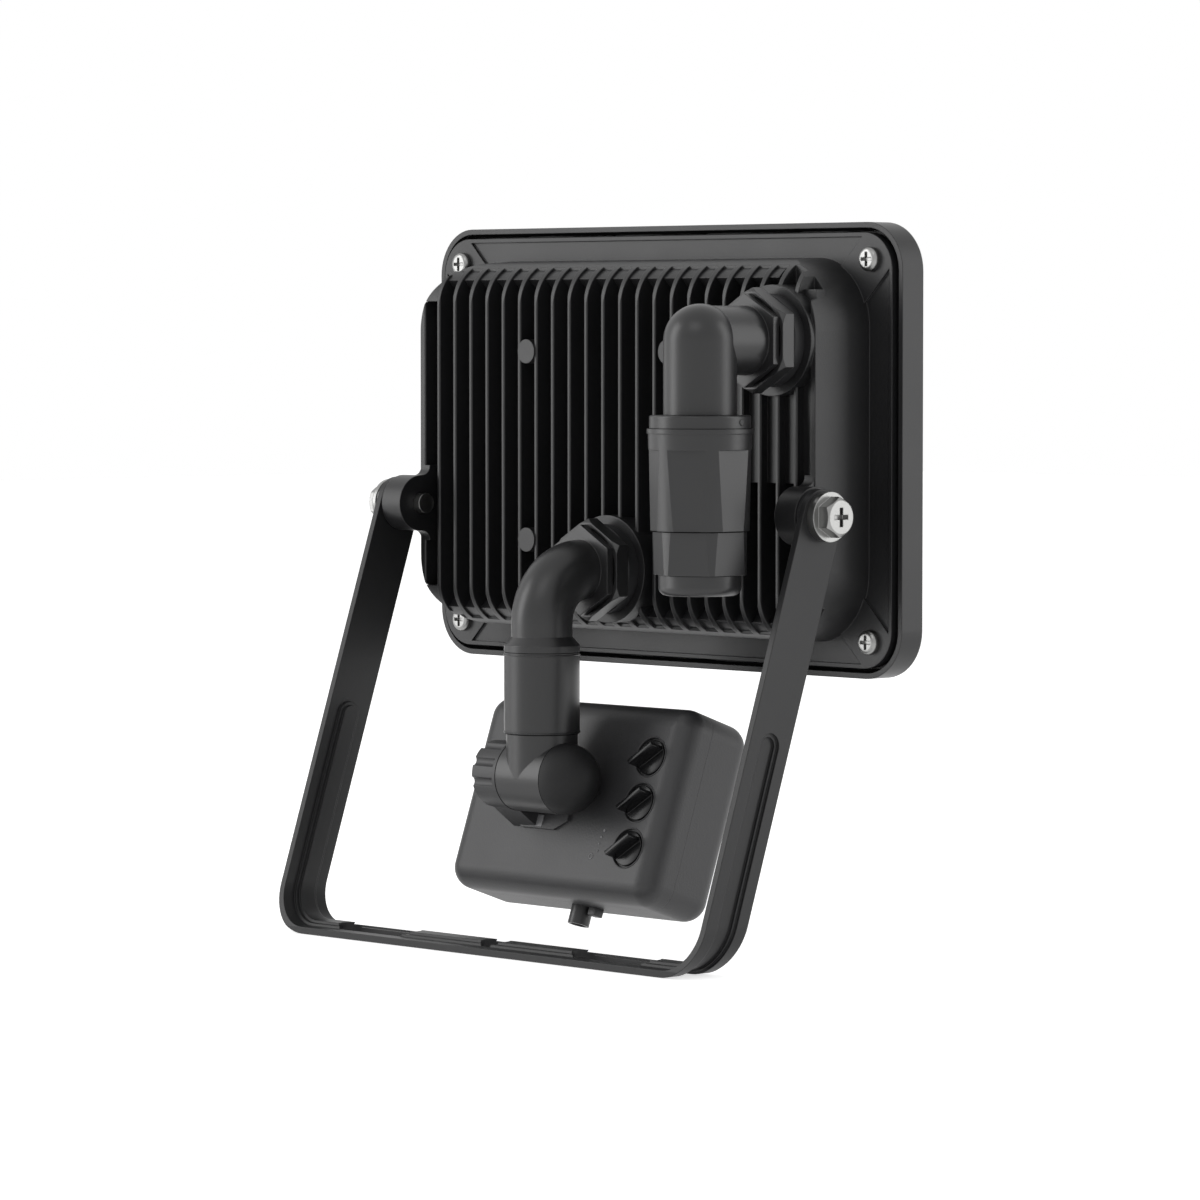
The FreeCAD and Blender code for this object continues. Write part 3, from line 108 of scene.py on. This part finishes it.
class Painter:
    """Builds one procedural material for each finish and hands them out."""

    CLOUD_SCALE = 60.0
    CLOUD_DETAIL = 4.0
    SHEEN_SPREAD = 0.08
    EDGE_SAMPLES = 6
    GRAIN_DETAIL = 2.0
    GRAIN_DEPTH = 0.0001

    # Places of the sockets on a Mix node that mixes colours.
    MIX_FACTOR, MIX_FIRST, MIX_SECOND, MIX_COLOR = 0, 6, 7, 2

    def __init__(self) -> None:
        """Builds every material."""
        self.made = {finish.name: self.build(finish) for finish in FINISHES}

    def build(self, finish: Finish) -> bpy.types.Material:
        """Makes a material with mottled colour and fine grain.

        Args:
            finish: the surface to build.

        Returns:
            The new material.
        """
        material = bpy.data.materials.new(finish.name)
        material.use_nodes = True
        nodes, links = material.node_tree.nodes, material.node_tree.links
        shader = nodes["Principled BSDF"]
        shader.inputs["Metallic"].default_value = finish.metallic
        shader.inputs["Specular IOR Level"].default_value = finish.specular
        shader.inputs["Transmission Weight"].default_value = finish.transmission
        place = nodes.new("ShaderNodeTexCoord")
        cloud = nodes.new("ShaderNodeTexNoise")
        cloud.inputs["Scale"].default_value = self.CLOUD_SCALE
        cloud.inputs["Detail"].default_value = self.CLOUD_DETAIL
        links.new(place.outputs["Object"], cloud.inputs["Vector"])
        self.tint(finish, material, cloud)
        self.sheen(finish, material, cloud)
        edge = nodes.new("ShaderNodeBevel")
        edge.samples = self.EDGE_SAMPLES
        edge.inputs["Radius"].default_value = finish.edge / MM_PER_M
        links.new(edge.outputs["Normal"], shader.inputs["Normal"])
        if finish.grain > 0:
            self.grain(finish, material, place, edge)
        return material

    def tint(self, finish: Finish, material: bpy.types.Material, cloud: bpy.types.Node) -> None:
        """Varies the colour a little from place to place.

        Args:
            finish: the surface to build.
            material: the material to add to.
            cloud: the broad noise that the colour follows.
        """
        nodes, links = material.node_tree.nodes, material.node_tree.links
        swing = finish.mottle * 2
        low = [c * (1 - swing) for c in finish.color]
        high = [min(1.0, c * (1 + swing)) for c in finish.color]
        tint = nodes.new("ShaderNodeMix")
        tint.data_type = "RGBA"
        tint.inputs[self.MIX_FIRST].default_value = (*low, 1.0)
        tint.inputs[self.MIX_SECOND].default_value = (*high, 1.0)
        links.new(cloud.outputs["Fac"], tint.inputs[self.MIX_FACTOR])
        links.new(tint.outputs[self.MIX_COLOR], nodes["Principled BSDF"].inputs["Base Color"])

    def sheen(self, finish: Finish, material: bpy.types.Material, cloud: bpy.types.Node) -> None:
        """Varies the roughness a little from place to place.

        Args:
            finish: the surface to build.
            material: the material to add to.
            cloud: the broad noise that the roughness follows.
        """
        nodes, links = material.node_tree.nodes, material.node_tree.links
        sheen = nodes.new("ShaderNodeMapRange")
        sheen.inputs["To Min"].default_value = finish.roughness * (1 - self.SHEEN_SPREAD)
        sheen.inputs["To Max"].default_value = min(1.0, finish.roughness * (1 + self.SHEEN_SPREAD))
        links.new(cloud.outputs["Fac"], sheen.inputs["Value"])
        links.new(sheen.outputs["Result"], nodes["Principled BSDF"].inputs["Roughness"])

    def grain(self, finish: Finish, material: bpy.types.Material, place: bpy.types.Node,
              edge: bpy.types.Node) -> None:
        """Adds a fine relief over the softened edges.

        Args:
            finish: the surface to build.
            material: the material to add to.
            place: the node that gives Object coordinates.
            edge: the node that softens the edges.
        """
        nodes, links = material.node_tree.nodes, material.node_tree.links
        grain = nodes.new("ShaderNodeTexNoise")
        grain.inputs["Scale"].default_value = finish.grain_scale
        grain.inputs["Detail"].default_value = self.GRAIN_DETAIL
        bump = nodes.new("ShaderNodeBump")
        bump.inputs["Strength"].default_value = finish.grain
        bump.inputs["Distance"].default_value = self.GRAIN_DEPTH
        links.new(place.outputs["Object"], grain.inputs["Vector"])
        links.new(grain.outputs["Fac"], bump.inputs["Height"])
        links.new(edge.outputs["Normal"], bump.inputs["Normal"])
        links.new(bump.outputs["Normal"], nodes["Principled BSDF"].inputs["Normal"])

    def paint(self, obj: bpy.types.Object, name: str) -> None:
        """Gives an object one finish.

        Args:
            obj: the object to paint.
            name: the finish's name.
        """
        obj.data.materials.clear()
        obj.data.materials.append(self.made[name])

    def paint_cad(self) -> None:
        """Paints each CAD node with the finish of its material slot."""
        for entry in frame["record"]["subparts"]:
            self.paint(frame["nodes"][entry["node"]], entry["material_slot"])


class Bench:
    """Shapes new meshes with modelling operators, in millimetres in the part's frame."""

    RING_SEGMENTS = 72
    RING_SIDES = 10
    BEVEL_STEPS = 2
    SMOOTH_ANGLE = 35

    def __init__(self, painter: Painter) -> None:
        """Keeps the painter for finished pieces."""
        self.painter = painter

    @staticmethod
    def bar(radius: float, length: float, start: Vector, way: Vector, sides: int) -> bpy.types.Object:
        """Adds a round bar from a point along a direction.

        Args:
            radius: radius in mm.
            length: length in mm.
            start: centre of the near end, in mm.
            way: unit direction.
            sides: how many sides the bar has.

        Returns:
            The new object, selected alone.
        """
        bpy.ops.object.select_all(action="DESELECT")
        middle = (start + way * length / 2) / MM_PER_M
        turn = way.to_track_quat("Z", "Y").to_euler()
        bpy.ops.mesh.primitive_cylinder_add(vertices=sides, radius=radius / MM_PER_M, depth=length / MM_PER_M,
                                            location=middle, rotation=turn)
        return bpy.context.object

    @staticmethod
    def brick(size: tuple[float, float, float], middle: Vector, way: Vector,
              spin: float = 0.0) -> bpy.types.Object:
        """Adds a block whose height runs along a direction.

        Args:
            size: width, depth and height in mm.
            middle: its centre, in mm.
            way: unit direction of its height.
            spin: turn about that direction, in degrees.

        Returns:
            The new object, selected alone.
        """
        bpy.ops.object.select_all(action="DESELECT")
        turn = (way.to_track_quat("Z", "Y") @ Quaternion((0, 0, 1), math.radians(spin))).to_euler()
        bpy.ops.mesh.primitive_cube_add(size=1, location=middle / MM_PER_M, rotation=turn)
        made = bpy.context.object
        made.scale = [s / MM_PER_M for s in size]
        return made

    @classmethod
    def ring(cls, radius: float, tube: float, middle: Vector, way: Vector) -> bpy.types.Object:
        """Adds a thin round ring about a direction.

        Args:
            radius: radius of the ring's centre line in mm.
            tube: radius of its section in mm.
            middle: its centre, in mm.
            way: unit direction of its axis.

        Returns:
            The new object, selected alone.
        """
        bpy.ops.object.select_all(action="DESELECT")
        turn = way.to_track_quat("Z", "Y").to_euler()
        bpy.ops.mesh.primitive_torus_add(major_radius=radius / MM_PER_M, minor_radius=tube / MM_PER_M,
                                         major_segments=cls.RING_SEGMENTS, minor_segments=cls.RING_SIDES,
                                         location=middle / MM_PER_M, rotation=turn)
        return bpy.context.object

    @staticmethod
    def keep(through: Vector, way: Vector) -> None:
        """Cuts the chosen mesh by a plane and keeps what lies along a direction.

        Args:
            through: a point of the plane, in mm.
            way: direction of the side that stays.
        """
        bpy.ops.object.transform_apply(location=True, rotation=True, scale=True)
        bpy.ops.object.mode_set(mode="EDIT")
        bpy.ops.mesh.select_all(action="SELECT")
        bpy.ops.mesh.bisect(plane_co=through / MM_PER_M, plane_no=way, use_fill=True, clear_inner=True)
        bpy.ops.object.mode_set(mode="OBJECT")

    def finish(self, parts: list[bpy.types.Object], name: str, paint: str, body: Body,
               soften: float = 0.1) -> bpy.types.Object:
        """Joins parts into one piece, rounds its edges, paints it and hangs it on its body.

        Args:
            parts: the objects to join.
            name: name of the piece.
            paint: name of its finish.
            body: the body it rides on.
            soften: edge rounding in mm, or 0 for none.

        Returns:
            The finished piece.
        """
        bpy.ops.object.select_all(action="DESELECT")
        for part in parts:
            part.select_set(True)
        bpy.context.view_layer.objects.active = parts[0]
        bpy.ops.object.transform_apply(location=True, rotation=True, scale=True)
        if len(parts) > 1:
            bpy.ops.object.join()
        piece = bpy.context.object
        piece.name = name
        if soften > 0:
            bpy.ops.object.modifier_add(type="BEVEL")
            bevel = piece.modifiers[-1]
            bevel.width = soften / MM_PER_M
            bevel.segments = self.BEVEL_STEPS
            bpy.ops.object.modifier_apply(modifier=bevel.name)
        bpy.ops.object.mode_set(mode="EDIT")
        bpy.ops.mesh.select_all(action="SELECT")
        bpy.ops.mesh.normals_make_consistent(inside=False)
        bpy.ops.object.mode_set(mode="OBJECT")
        bpy.ops.object.shade_smooth_by_angle(angle=math.radians(self.SMOOTH_ANGLE))
        self.painter.paint(piece, paint)
        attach(piece, body.value)
        LOG.info("made %s", name)
        return piece


@dataclass
class SensorFace:
    """Dials, marks and small trim on the sensor head's back, laid out in its own leaning frame."""

    # The tilt axis, how far the back leans, and where the back and the dials are in its frame.
    axis: Vector = Vector((0, -18.3, 49.8))
    lean: float = 19.5
    rear: float = -11.72
    dial_x: float = -30.0
    dial_z: tuple[float, ...] = (11.25, -2.4, -16.05)

    rim_r: float = 5.95
    rim_tube: float = 0.22

    circle_r: float = 0.75
    circle_tube: float = 0.13
    circle_out: float = 14.2
    circle_drop: float = 3.4
    circle_rise: float = 0.03

    # Dots on a curve about the lowest dial, each wider the further it is round.
    dot_angles: tuple[int, ...] = (-8, 2, 12, 22)
    dot_path_r: float = 12.0
    dot_r: float = 0.3
    dot_turn_per_mm: float = 150.0
    dot_t: float = 0.12
    dot_rise: float = 0.02
    dot_sides: int = 16

    pad_size: tuple[float, float, float] = (5.4, 3.6, 0.3)
    pad_x: float = 9.3
    pad_rise: float = 1.05
    pad_z: float = -10.6

    tab_size: tuple[float, float, float] = (3.2, 3.4, 2.6)
    tab_at: tuple[float, float, float] = (-6.6, -27.7, -32.7)
    tab_soften: float = 0.3

    dial_r: float = 5.2
    dial_sink: float = 0.7
    dial_rise: float = 0.1
    dial_sides: int = 64
    dial_soften: float = 0.18
    grip_h: float = 4.8
    grip_t: float = 1.3
    grip_turn: float = 38.0
    grip_margin: float = 0.5

    def spot(self, x: float, y: float, z: float) -> Vector:
        """Turns a place in the leaning frame into the part's frame.

        Args:
            x: sideways place in mm.
            y: place along the back's normal in mm.
            z: place up the back in mm.

        Returns:
            The point in mm.
        """
        c, s = math.cos(math.radians(self.lean)), math.sin(math.radians(self.lean))
        return self.axis + Vector((x, y * c - z * s, y * s + z * c))

    def normal(self) -> Vector:
        """Outward direction of the back."""
        return self.spot(0, 1, 0) - self.spot(0, 0, 0)

    def upward(self) -> Vector:
        """Direction up the back."""
        return self.spot(0, 0, 1) - self.spot(0, 0, 0)

    def build(self, bench: Bench) -> None:
        """Models the dials with their rims and marks, the pad and the tab.

        Args:
            bench: where pieces are made.
        """
        self.rims(bench)
        self.marks(bench)
        self.small_trim(bench)
        nodes = (("range_knob", Body.RANGE), ("time_knob", Body.TIME), ("light_knob", Body.LIGHT))
        for (node, body), z in zip(nodes, self.dial_z):
            self.knob(bench, node, body, z)

    def rims(self, bench: Bench) -> None:
        """Models the thin raised rim round each dial.

        Args:
            bench: where pieces are made.
        """
        way = self.normal()
        rings = [bench.ring(self.rim_r, self.rim_tube, self.spot(self.dial_x, self.rear, z), way)
                 for z in self.dial_z]
        bench.finish(rings, "dial_rims", "sensor_plastic", Body.SENSOR, 0)

    def marks(self, bench: Bench) -> None:
        """Models the circle and the row of growing dots beside the lowest dial.

        Args:
            bench: where pieces are made.
        """
        way = self.normal()
        low_z = self.dial_z[-1]
        place = self.spot(self.dial_x + self.circle_out, self.rear + self.circle_rise,
                          low_z - self.circle_drop)
        marks = [bench.ring(self.circle_r, self.circle_tube, place, way)]
        for angle in self.dot_angles:
            a = math.radians(angle)
            place = self.spot(self.dial_x + self.dot_path_r * math.cos(a), self.rear + self.dot_rise,
                              low_z + self.dot_path_r * math.sin(a))
            radius = self.dot_r + angle / self.dot_turn_per_mm
            marks.append(bench.bar(radius, self.dot_t, place, way, self.dot_sides))
        bench.finish(marks, "dial_marks", "dial_mark", Body.SENSOR, 0)

    def small_trim(self, bench: Bench) -> None:
        """Models the pad beside the knuckle and the tab under the shell.

        Args:
            bench: where pieces are made.
        """
        pad_at = self.spot(self.pad_x, self.rear + self.pad_rise, self.pad_z)
        pad = bench.brick(self.pad_size, pad_at, self.normal())
        bench.finish([pad], "saddle_pad", "dial_mark", Body.SENSOR)
        tab = bench.brick(self.tab_size, self.spot(*self.tab_at), self.upward())
        bench.finish([tab], "lower_tab", "sensor_plastic", Body.SENSOR, self.tab_soften)

    def knob(self, bench: Bench, node: str, body: Body, z: float) -> None:
        """Models one dial: a sunk disc with a tall straight grip across it.

        Args:
            bench: where pieces are made.
            node: the CAD node that the dial stands for.
            body: the body that it rides on.
            z: its height up the back in mm.
        """
        way = self.normal()
        foot = self.rear - self.dial_sink
        disc = bench.bar(self.dial_r, self.dial_sink + self.dial_rise, self.spot(self.dial_x, foot, z), way,
                         self.dial_sides)
        height = self.dial_sink + self.grip_h
        middle = self.spot(self.dial_x, foot + height / 2, z)
        size = (2 * self.dial_r - self.grip_margin, self.grip_t, height)
        grip = bench.brick(size, middle, way, self.grip_turn)
        piece = bench.finish([disc, grip], "dial_" + node, "knob_gloss", body, self.dial_soften)
        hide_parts(node)


@dataclass(frozen=True)
class Hoop:
    """A thin ring on an upright pipe: its radius, its section's radius and its height in mm."""

    radius: float
    tube: float
    z: float


@dataclass
class PipeTrim:
    """Rims, painted seam shadows (dark rings standing in for the shade in the gaps) and the matt cap on the
    pipes, the knuckle and the connector.
    """

    # Feet of the two upright pipes' axes, and the height of the tilt axis.
    arm: Vector = Vector((0, -18.3, 0))
    supply: Vector = Vector((-67.6, -16.0, 0))
    tilt_z: float = 49.8

    rims: tuple[Hoop, ...] = (Hoop(10.98, 0.25, 85.5), Hoop(10.98, 0.25, 63.1))
    # Painted shadow: the dark rings below stand in for the shade inside the gaps at the seams.
    sleeve_seam_shadows: tuple[Hoop, ...] = (Hoop(10.6, 0.14, 62.58), Hoop(10.93, 0.12, 86.2))
    connector_seams: tuple[Hoop, ...] = (Hoop(14.35, 0.14, 151.8), Hoop(13.85, 0.14, 123.1),
                                         Hoop(11.75, 0.14, 110.8))
    knuckle_seam_shadow_r: float = 10.3
    knuckle_seam_shadow_tube: float = 0.15
    knuckle_seam_shadow_x: tuple[float, float] = (9.0, -9.6)

    dome_r: float = 10.42
    dome_x: float = -9.75
    dome_segments: int = 64
    dome_rings: int = 32

    @staticmethod
    def hoops(bench: Bench, hoops: tuple[Hoop, ...], pipe: Vector) -> list[bpy.types.Object]:
        """Adds rings round one upright pipe.

        Args:
            bench: where pieces are made.
            hoops: the rings to add.
            pipe: the foot of the pipe's axis, in mm.

        Returns:
            The rings.
        """
        return [bench.ring(hoop.radius, hoop.tube, pipe + UP * hoop.z, UP) for hoop in hoops]

    def build(self, bench: Bench) -> None:
        """Models the sleeve's rims, the painted seam shadows (dark rings standing in for the shade in the
        gaps) and the cap.

        Args:
            bench: where pieces are made.
        """
        bench.finish(self.hoops(bench, self.rims, self.arm), "sleeve_rims", "black_plastic", Body.ARM, 0)
        # Painted shadow: dark rings at the sleeve's and the knuckle's seams stand in for the shade in their
        # gaps.
        arm_gap_shadows = self.hoops(bench, self.sleeve_seam_shadows, self.arm)
        arm_gap_shadows += [bench.ring(self.knuckle_seam_shadow_r, self.knuckle_seam_shadow_tube,
                             self.arm + Vector((x, 0, self.tilt_z)), ACROSS) for x in self.knuckle_seam_shadow_x]
        bench.finish(arm_gap_shadows, "arm_seams", "seam_shadow", Body.ARM, 0)
        # Painted shadow: dark rings at the connector's seams stand in for the shade in its gaps.
        connector_gap_shadows = self.hoops(bench, self.connector_seams, self.supply)
        bench.finish(connector_gap_shadows, "connector_seams", "seam_shadow", Body.HEAD, 0)
        self.dome(bench)

    def dome(self, bench: Bench) -> None:
        """Models the matt cap over the knuckle's round end.

        Args:
            bench: where pieces are made.
        """
        bpy.ops.object.select_all(action="DESELECT")
        middle = Vector((self.dome_x, self.arm.y, self.tilt_z)) / MM_PER_M
        bpy.ops.mesh.primitive_uv_sphere_add(segments=self.dome_segments, ring_count=self.dome_rings,
                                             radius=self.dome_r / MM_PER_M, location=middle,
                                             rotation=(0, math.radians(90), 0))
        bpy.ops.object.mode_set(mode="EDIT")
        bpy.ops.mesh.select_all(action="SELECT")
        bpy.ops.mesh.bisect(plane_co=middle, plane_no=-ACROSS, use_fill=True, clear_inner=True)
        bpy.ops.object.mode_set(mode="OBJECT")
        bench.finish([bpy.context.object], "dome_cap", "dome_matt", Body.ARM, 0)


@dataclass
class HousingTrim:
    """Closed slot ends, the inlet's raised land and the shadow inside the rim of the finned casting."""

    # The finned block: its centre, its rearmost face, and its rounded outline and shoulders.
    centre_z: float = 145.0
    rear: float = -45.8
    half_width: float = 83.6
    half_height: float = 53.8
    shoulder_r: float = 13.0
    corner_r: float = 20.0
    slot_depth: float = 6.6
    inset: float = 0.04
    sides: int = 256

    # Strips that close the long slots, each with a ramp at its foot.
    strip_from: float = -66.0
    strip_to: float = 75.5
    ramp_foot: float = 46.0
    ramp_slope: float = 1.2

    # Where the edge slot starts sideways, and how far up and down it stays open.
    edge_slot_x: float = 75.9
    edge_slot_end: float = 43.0

    land_size: tuple[float, float, float] = (12.9, 55.0, 3.9)
    land_at: Vector = Vector((-75.0, -50.4, 163.3))

    shadow_size: tuple[float, float, float] = (176.0, 0.1, 0.75)
    shadow_y: float = -69.25
    shadow_out: float = 63.01

    def shoulder_bar(self, bench: Bench, side: int) -> bpy.types.Object:
        """Round bar that fills one long shoulder of the block.

        Args:
            bench: where pieces are made.
            side: 1 for the upper shoulder, -1 for the lower one.

        Returns:
            The bar.
        """
        start = Vector((-self.half_width, self.rear - self.shoulder_r,
                        self.centre_z + side * (self.half_height - self.shoulder_r)))
        return bench.bar(self.shoulder_r - self.inset, 2 * self.half_width, start, ACROSS, self.sides)

    def slot_ends(self, bench: Bench, side: int) -> bpy.types.Object:
        """Closes the ends of the long slots along one shoulder with a ramp.

        Args:
            bench: where pieces are made.
            side: 1 for the upper ends, -1 for the lower ones.

        Returns:
            The strip that closes them.
        """
        strip = self.shoulder_bar(bench, side)
        floor_y = self.rear - self.slot_depth
        foot = Vector((0, floor_y, self.centre_z + side * self.ramp_foot))
        bench.keep(foot, Vector((0, -1, side * self.ramp_slope)))
        bench.keep(Vector((0, floor_y, 0)), REARWARD)
        bench.keep(Vector((self.strip_from, 0, 0)), ACROSS)
        bench.keep(Vector((self.strip_to, 0, 0)), -ACROSS)
        return strip

    def corner_block(self, bench: Bench, side: int) -> bpy.types.Object:
        """Closes one end of the edge slot at the block's round corner.

        Args:
            bench: where pieces are made.
            side: 1 for the upper corner, -1 for the lower one.

        Returns:
            The block that closes it.
        """
        shoulder = self.shoulder_bar(bench, side)
        start = Vector((self.half_width - self.corner_r, self.rear - self.slot_depth,
                        self.centre_z + side * (self.half_height - self.corner_r)))
        block = bench.bar(self.corner_r, self.slot_depth, start, REARWARD, self.sides)
        bench.keep(Vector((self.edge_slot_x, 0, 0)), ACROSS)
        bench.keep(Vector((0, 0, self.centre_z + side * self.edge_slot_end)), side * UP)
        bpy.ops.object.modifier_add(type="BOOLEAN")
        trim = block.modifiers[-1]
        trim.operation = "INTERSECT"
        trim.object = shoulder
        bpy.ops.object.modifier_apply(modifier=trim.name)
        bpy.data.objects.remove(shoulder)
        return block

    def rim_shadow(self, bench: Bench, side: int) -> bpy.types.Object:
        """Dark strip over the rim tabs, in the gap inside the bezel's rim.

        Args:
            bench: where pieces are made.
            side: 1 for the upper gap, -1 for the lower one.

        Returns:
            The strip.
        """
        middle = Vector((0, self.shadow_y, self.centre_z + side * self.shadow_out))
        return bench.brick(self.shadow_size, middle, UP)

    def build(self, bench: Bench) -> None:
        """Models the closed slot ends, the land beside the upper inlet and the rim's shadow.

        Args:
            bench: where pieces are made.
        """
        ends = [self.slot_ends(bench, side) for side in UPPER_AND_LOWER]
        bench.finish(ends, "closed_slot_ends", "casting_paint", Body.HEAD, 0)
        corners = [self.corner_block(bench, side) for side in UPPER_AND_LOWER]
        bench.finish(corners, "closed_edge_slots", "casting_paint", Body.HEAD, 0)
        land = bench.brick(self.land_size, self.land_at, REARWARD)
        bench.finish([land], "inlet_land", "casting_paint", Body.HEAD, 0)
        shadows = [self.rim_shadow(bench, side) for side in UPPER_AND_LOWER]
        bench.finish(shadows, "rim_gap_shadow", "seam_shadow", Body.HEAD, 0)


@dataclass
class WindowTrim:
    """Small piece seen through the window."""

    # Middle of the hole in the board's front face.
    led_face: Vector = Vector((0, -56.9, 109.4))
    cover_r: float = 8.9
    cover_t: float = 0.5
    cover_sides: int = 48

    def build(self, bench: Bench) -> None:
        """Models the pale cover over the wire hole in the light-source board.

        Args:
            bench: where pieces are made.
        """
        cover = bench.bar(self.cover_r, self.cover_t, self.led_face, -REARWARD, self.cover_sides)
        bench.finish([cover], "wire_hole_cover", "white_board", Body.HEAD)


@dataclass(frozen=True)
class Lamp:
    """One soft rectangular lamp: where it stands and its face in metres, and its watts."""

    place: tuple[float, float, float]
    width: float
    height: float
    power: float


LAMPS = (
    Lamp((1.15, 1.1, 0.55), 0.7, 1.5, 12.0),
    Lamp((-1.0, -0.9, 0.5), 0.5, 1.4, 5.0),
    Lamp((-0.6, 1.2, 1.5), 1.0, 0.8, 3.0),
)


@dataclass
class Studio:
    """Camera, floor and lights, in metres."""

    eye: Vector = Vector((-1.162, 1.0612, 0.1796))
    heading: tuple[float, float] = (0.7254, -0.6884)
    pitch: float = 2.83
    lens: float = 164.4
    film: float = 36.0
    sight: float = 50.0

    aim_z: float = 0.12
    sky_light: float = 0.46

    floor_side: float = 8.0
    floor_drop: float = 0.0002
    floor_pale: float = 0.92
    floor_roughness: float = 0.8
    floor_glow: float = 0.68

    def camera(self) -> None:
        """Sets the camera at the photo's angle."""
        drop = math.radians(self.pitch)
        way = Vector((self.heading[0] * math.cos(drop), self.heading[1] * math.cos(drop), -math.sin(drop)))
        bpy.ops.object.camera_add(location=self.eye, rotation=way.to_track_quat("-Z", "Y").to_euler())
        camera = bpy.context.object
        camera.data.lens = self.lens
        camera.data.sensor_width = self.film
        camera.data.clip_end = self.sight
        bpy.context.scene.camera = camera

    def light(self, lamp: Lamp) -> None:
        """Adds a soft lamp aimed at the object.

        Args:
            lamp: the lamp to add.
        """
        way = Vector((0, 0, self.aim_z)) - Vector(lamp.place)
        turn = way.to_track_quat("-Z", "Y").to_euler()
        bpy.ops.object.light_add(type="AREA", location=lamp.place, rotation=turn)
        light = bpy.context.object
        light.data.shape = "RECTANGLE"
        light.data.size = lamp.width
        light.data.size_y = lamp.height
        light.data.energy = lamp.power

    def sky(self) -> None:
        """White background for the camera, for gloss and through glass, and soft light for the object."""
        world = bpy.data.worlds.new("studio")
        bpy.context.scene.world = world
        world.use_nodes = True
        nodes, links = world.node_tree.nodes, world.node_tree.links
        seen = nodes["Background"]
        seen.inputs["Color"].default_value = (1, 1, 1, 1)
        seen.inputs["Strength"].default_value = 1.0
        soft = nodes.new("ShaderNodeBackground")
        soft.inputs["Color"].default_value = (1, 1, 1, 1)
        soft.inputs["Strength"].default_value = self.sky_light
        path = nodes.new("ShaderNodeLightPath")
        direct = nodes.new("ShaderNodeMath")
        direct.operation = "ADD"
        links.new(path.outputs["Is Camera Ray"], direct.inputs[0])
        links.new(path.outputs["Is Transmission Ray"], direct.inputs[1])
        white = nodes.new("ShaderNodeMath")
        white.operation = "ADD"
        white.use_clamp = True
        links.new(direct.outputs[0], white.inputs[0])
        links.new(path.outputs["Is Glossy Ray"], white.inputs[1])
        pick = nodes.new("ShaderNodeMixShader")
        links.new(white.outputs[0], pick.inputs["Fac"])
        links.new(soft.outputs["Background"], pick.inputs[1])
        links.new(seen.outputs["Background"], pick.inputs[2])
        links.new(pick.outputs["Shader"], nodes["World Output"].inputs["Surface"])

    def floor(self) -> None:
        """Pale floor under the bracket."""
        bpy.ops.mesh.primitive_plane_add(size=self.floor_side, location=(0, 0, -self.floor_drop))
        ground = bpy.context.object
        ground.name = "floor"
        material = bpy.data.materials.new("floor")
        material.use_nodes = True
        shader = material.node_tree.nodes["Principled BSDF"]
        shader.inputs["Base Color"].default_value = (self.floor_pale, self.floor_pale, self.floor_pale, 1)
        shader.inputs["Roughness"].default_value = self.floor_roughness
        shader.inputs["Emission Color"].default_value = (1, 1, 1, 1)
        shader.inputs["Emission Strength"].default_value = self.floor_glow
        ground.data.materials.append(material)

    def build(self) -> None:
        """Sets up everything round the object."""
        for name in ("Cube", "Light", "Camera"):
            if name in bpy.data.objects:
                bpy.data.objects.remove(bpy.data.objects[name])
        self.camera()
        self.sky()
        self.floor()
        for lamp in LAMPS:
            self.light(lamp)
        bpy.context.scene.view_settings.view_transform = "Standard"


def main() -> None:
    """Builds the whole scene."""
    logging.basicConfig(level=logging.INFO)
    painter = Painter()
    painter.paint_cad()
    bench = Bench(painter)
    SensorFace().build(bench)
    PipeTrim().build(bench)
    HousingTrim().build(bench)
    WindowTrim().build(bench)
    Studio().build()


if __name__ == "__main__":
    main()
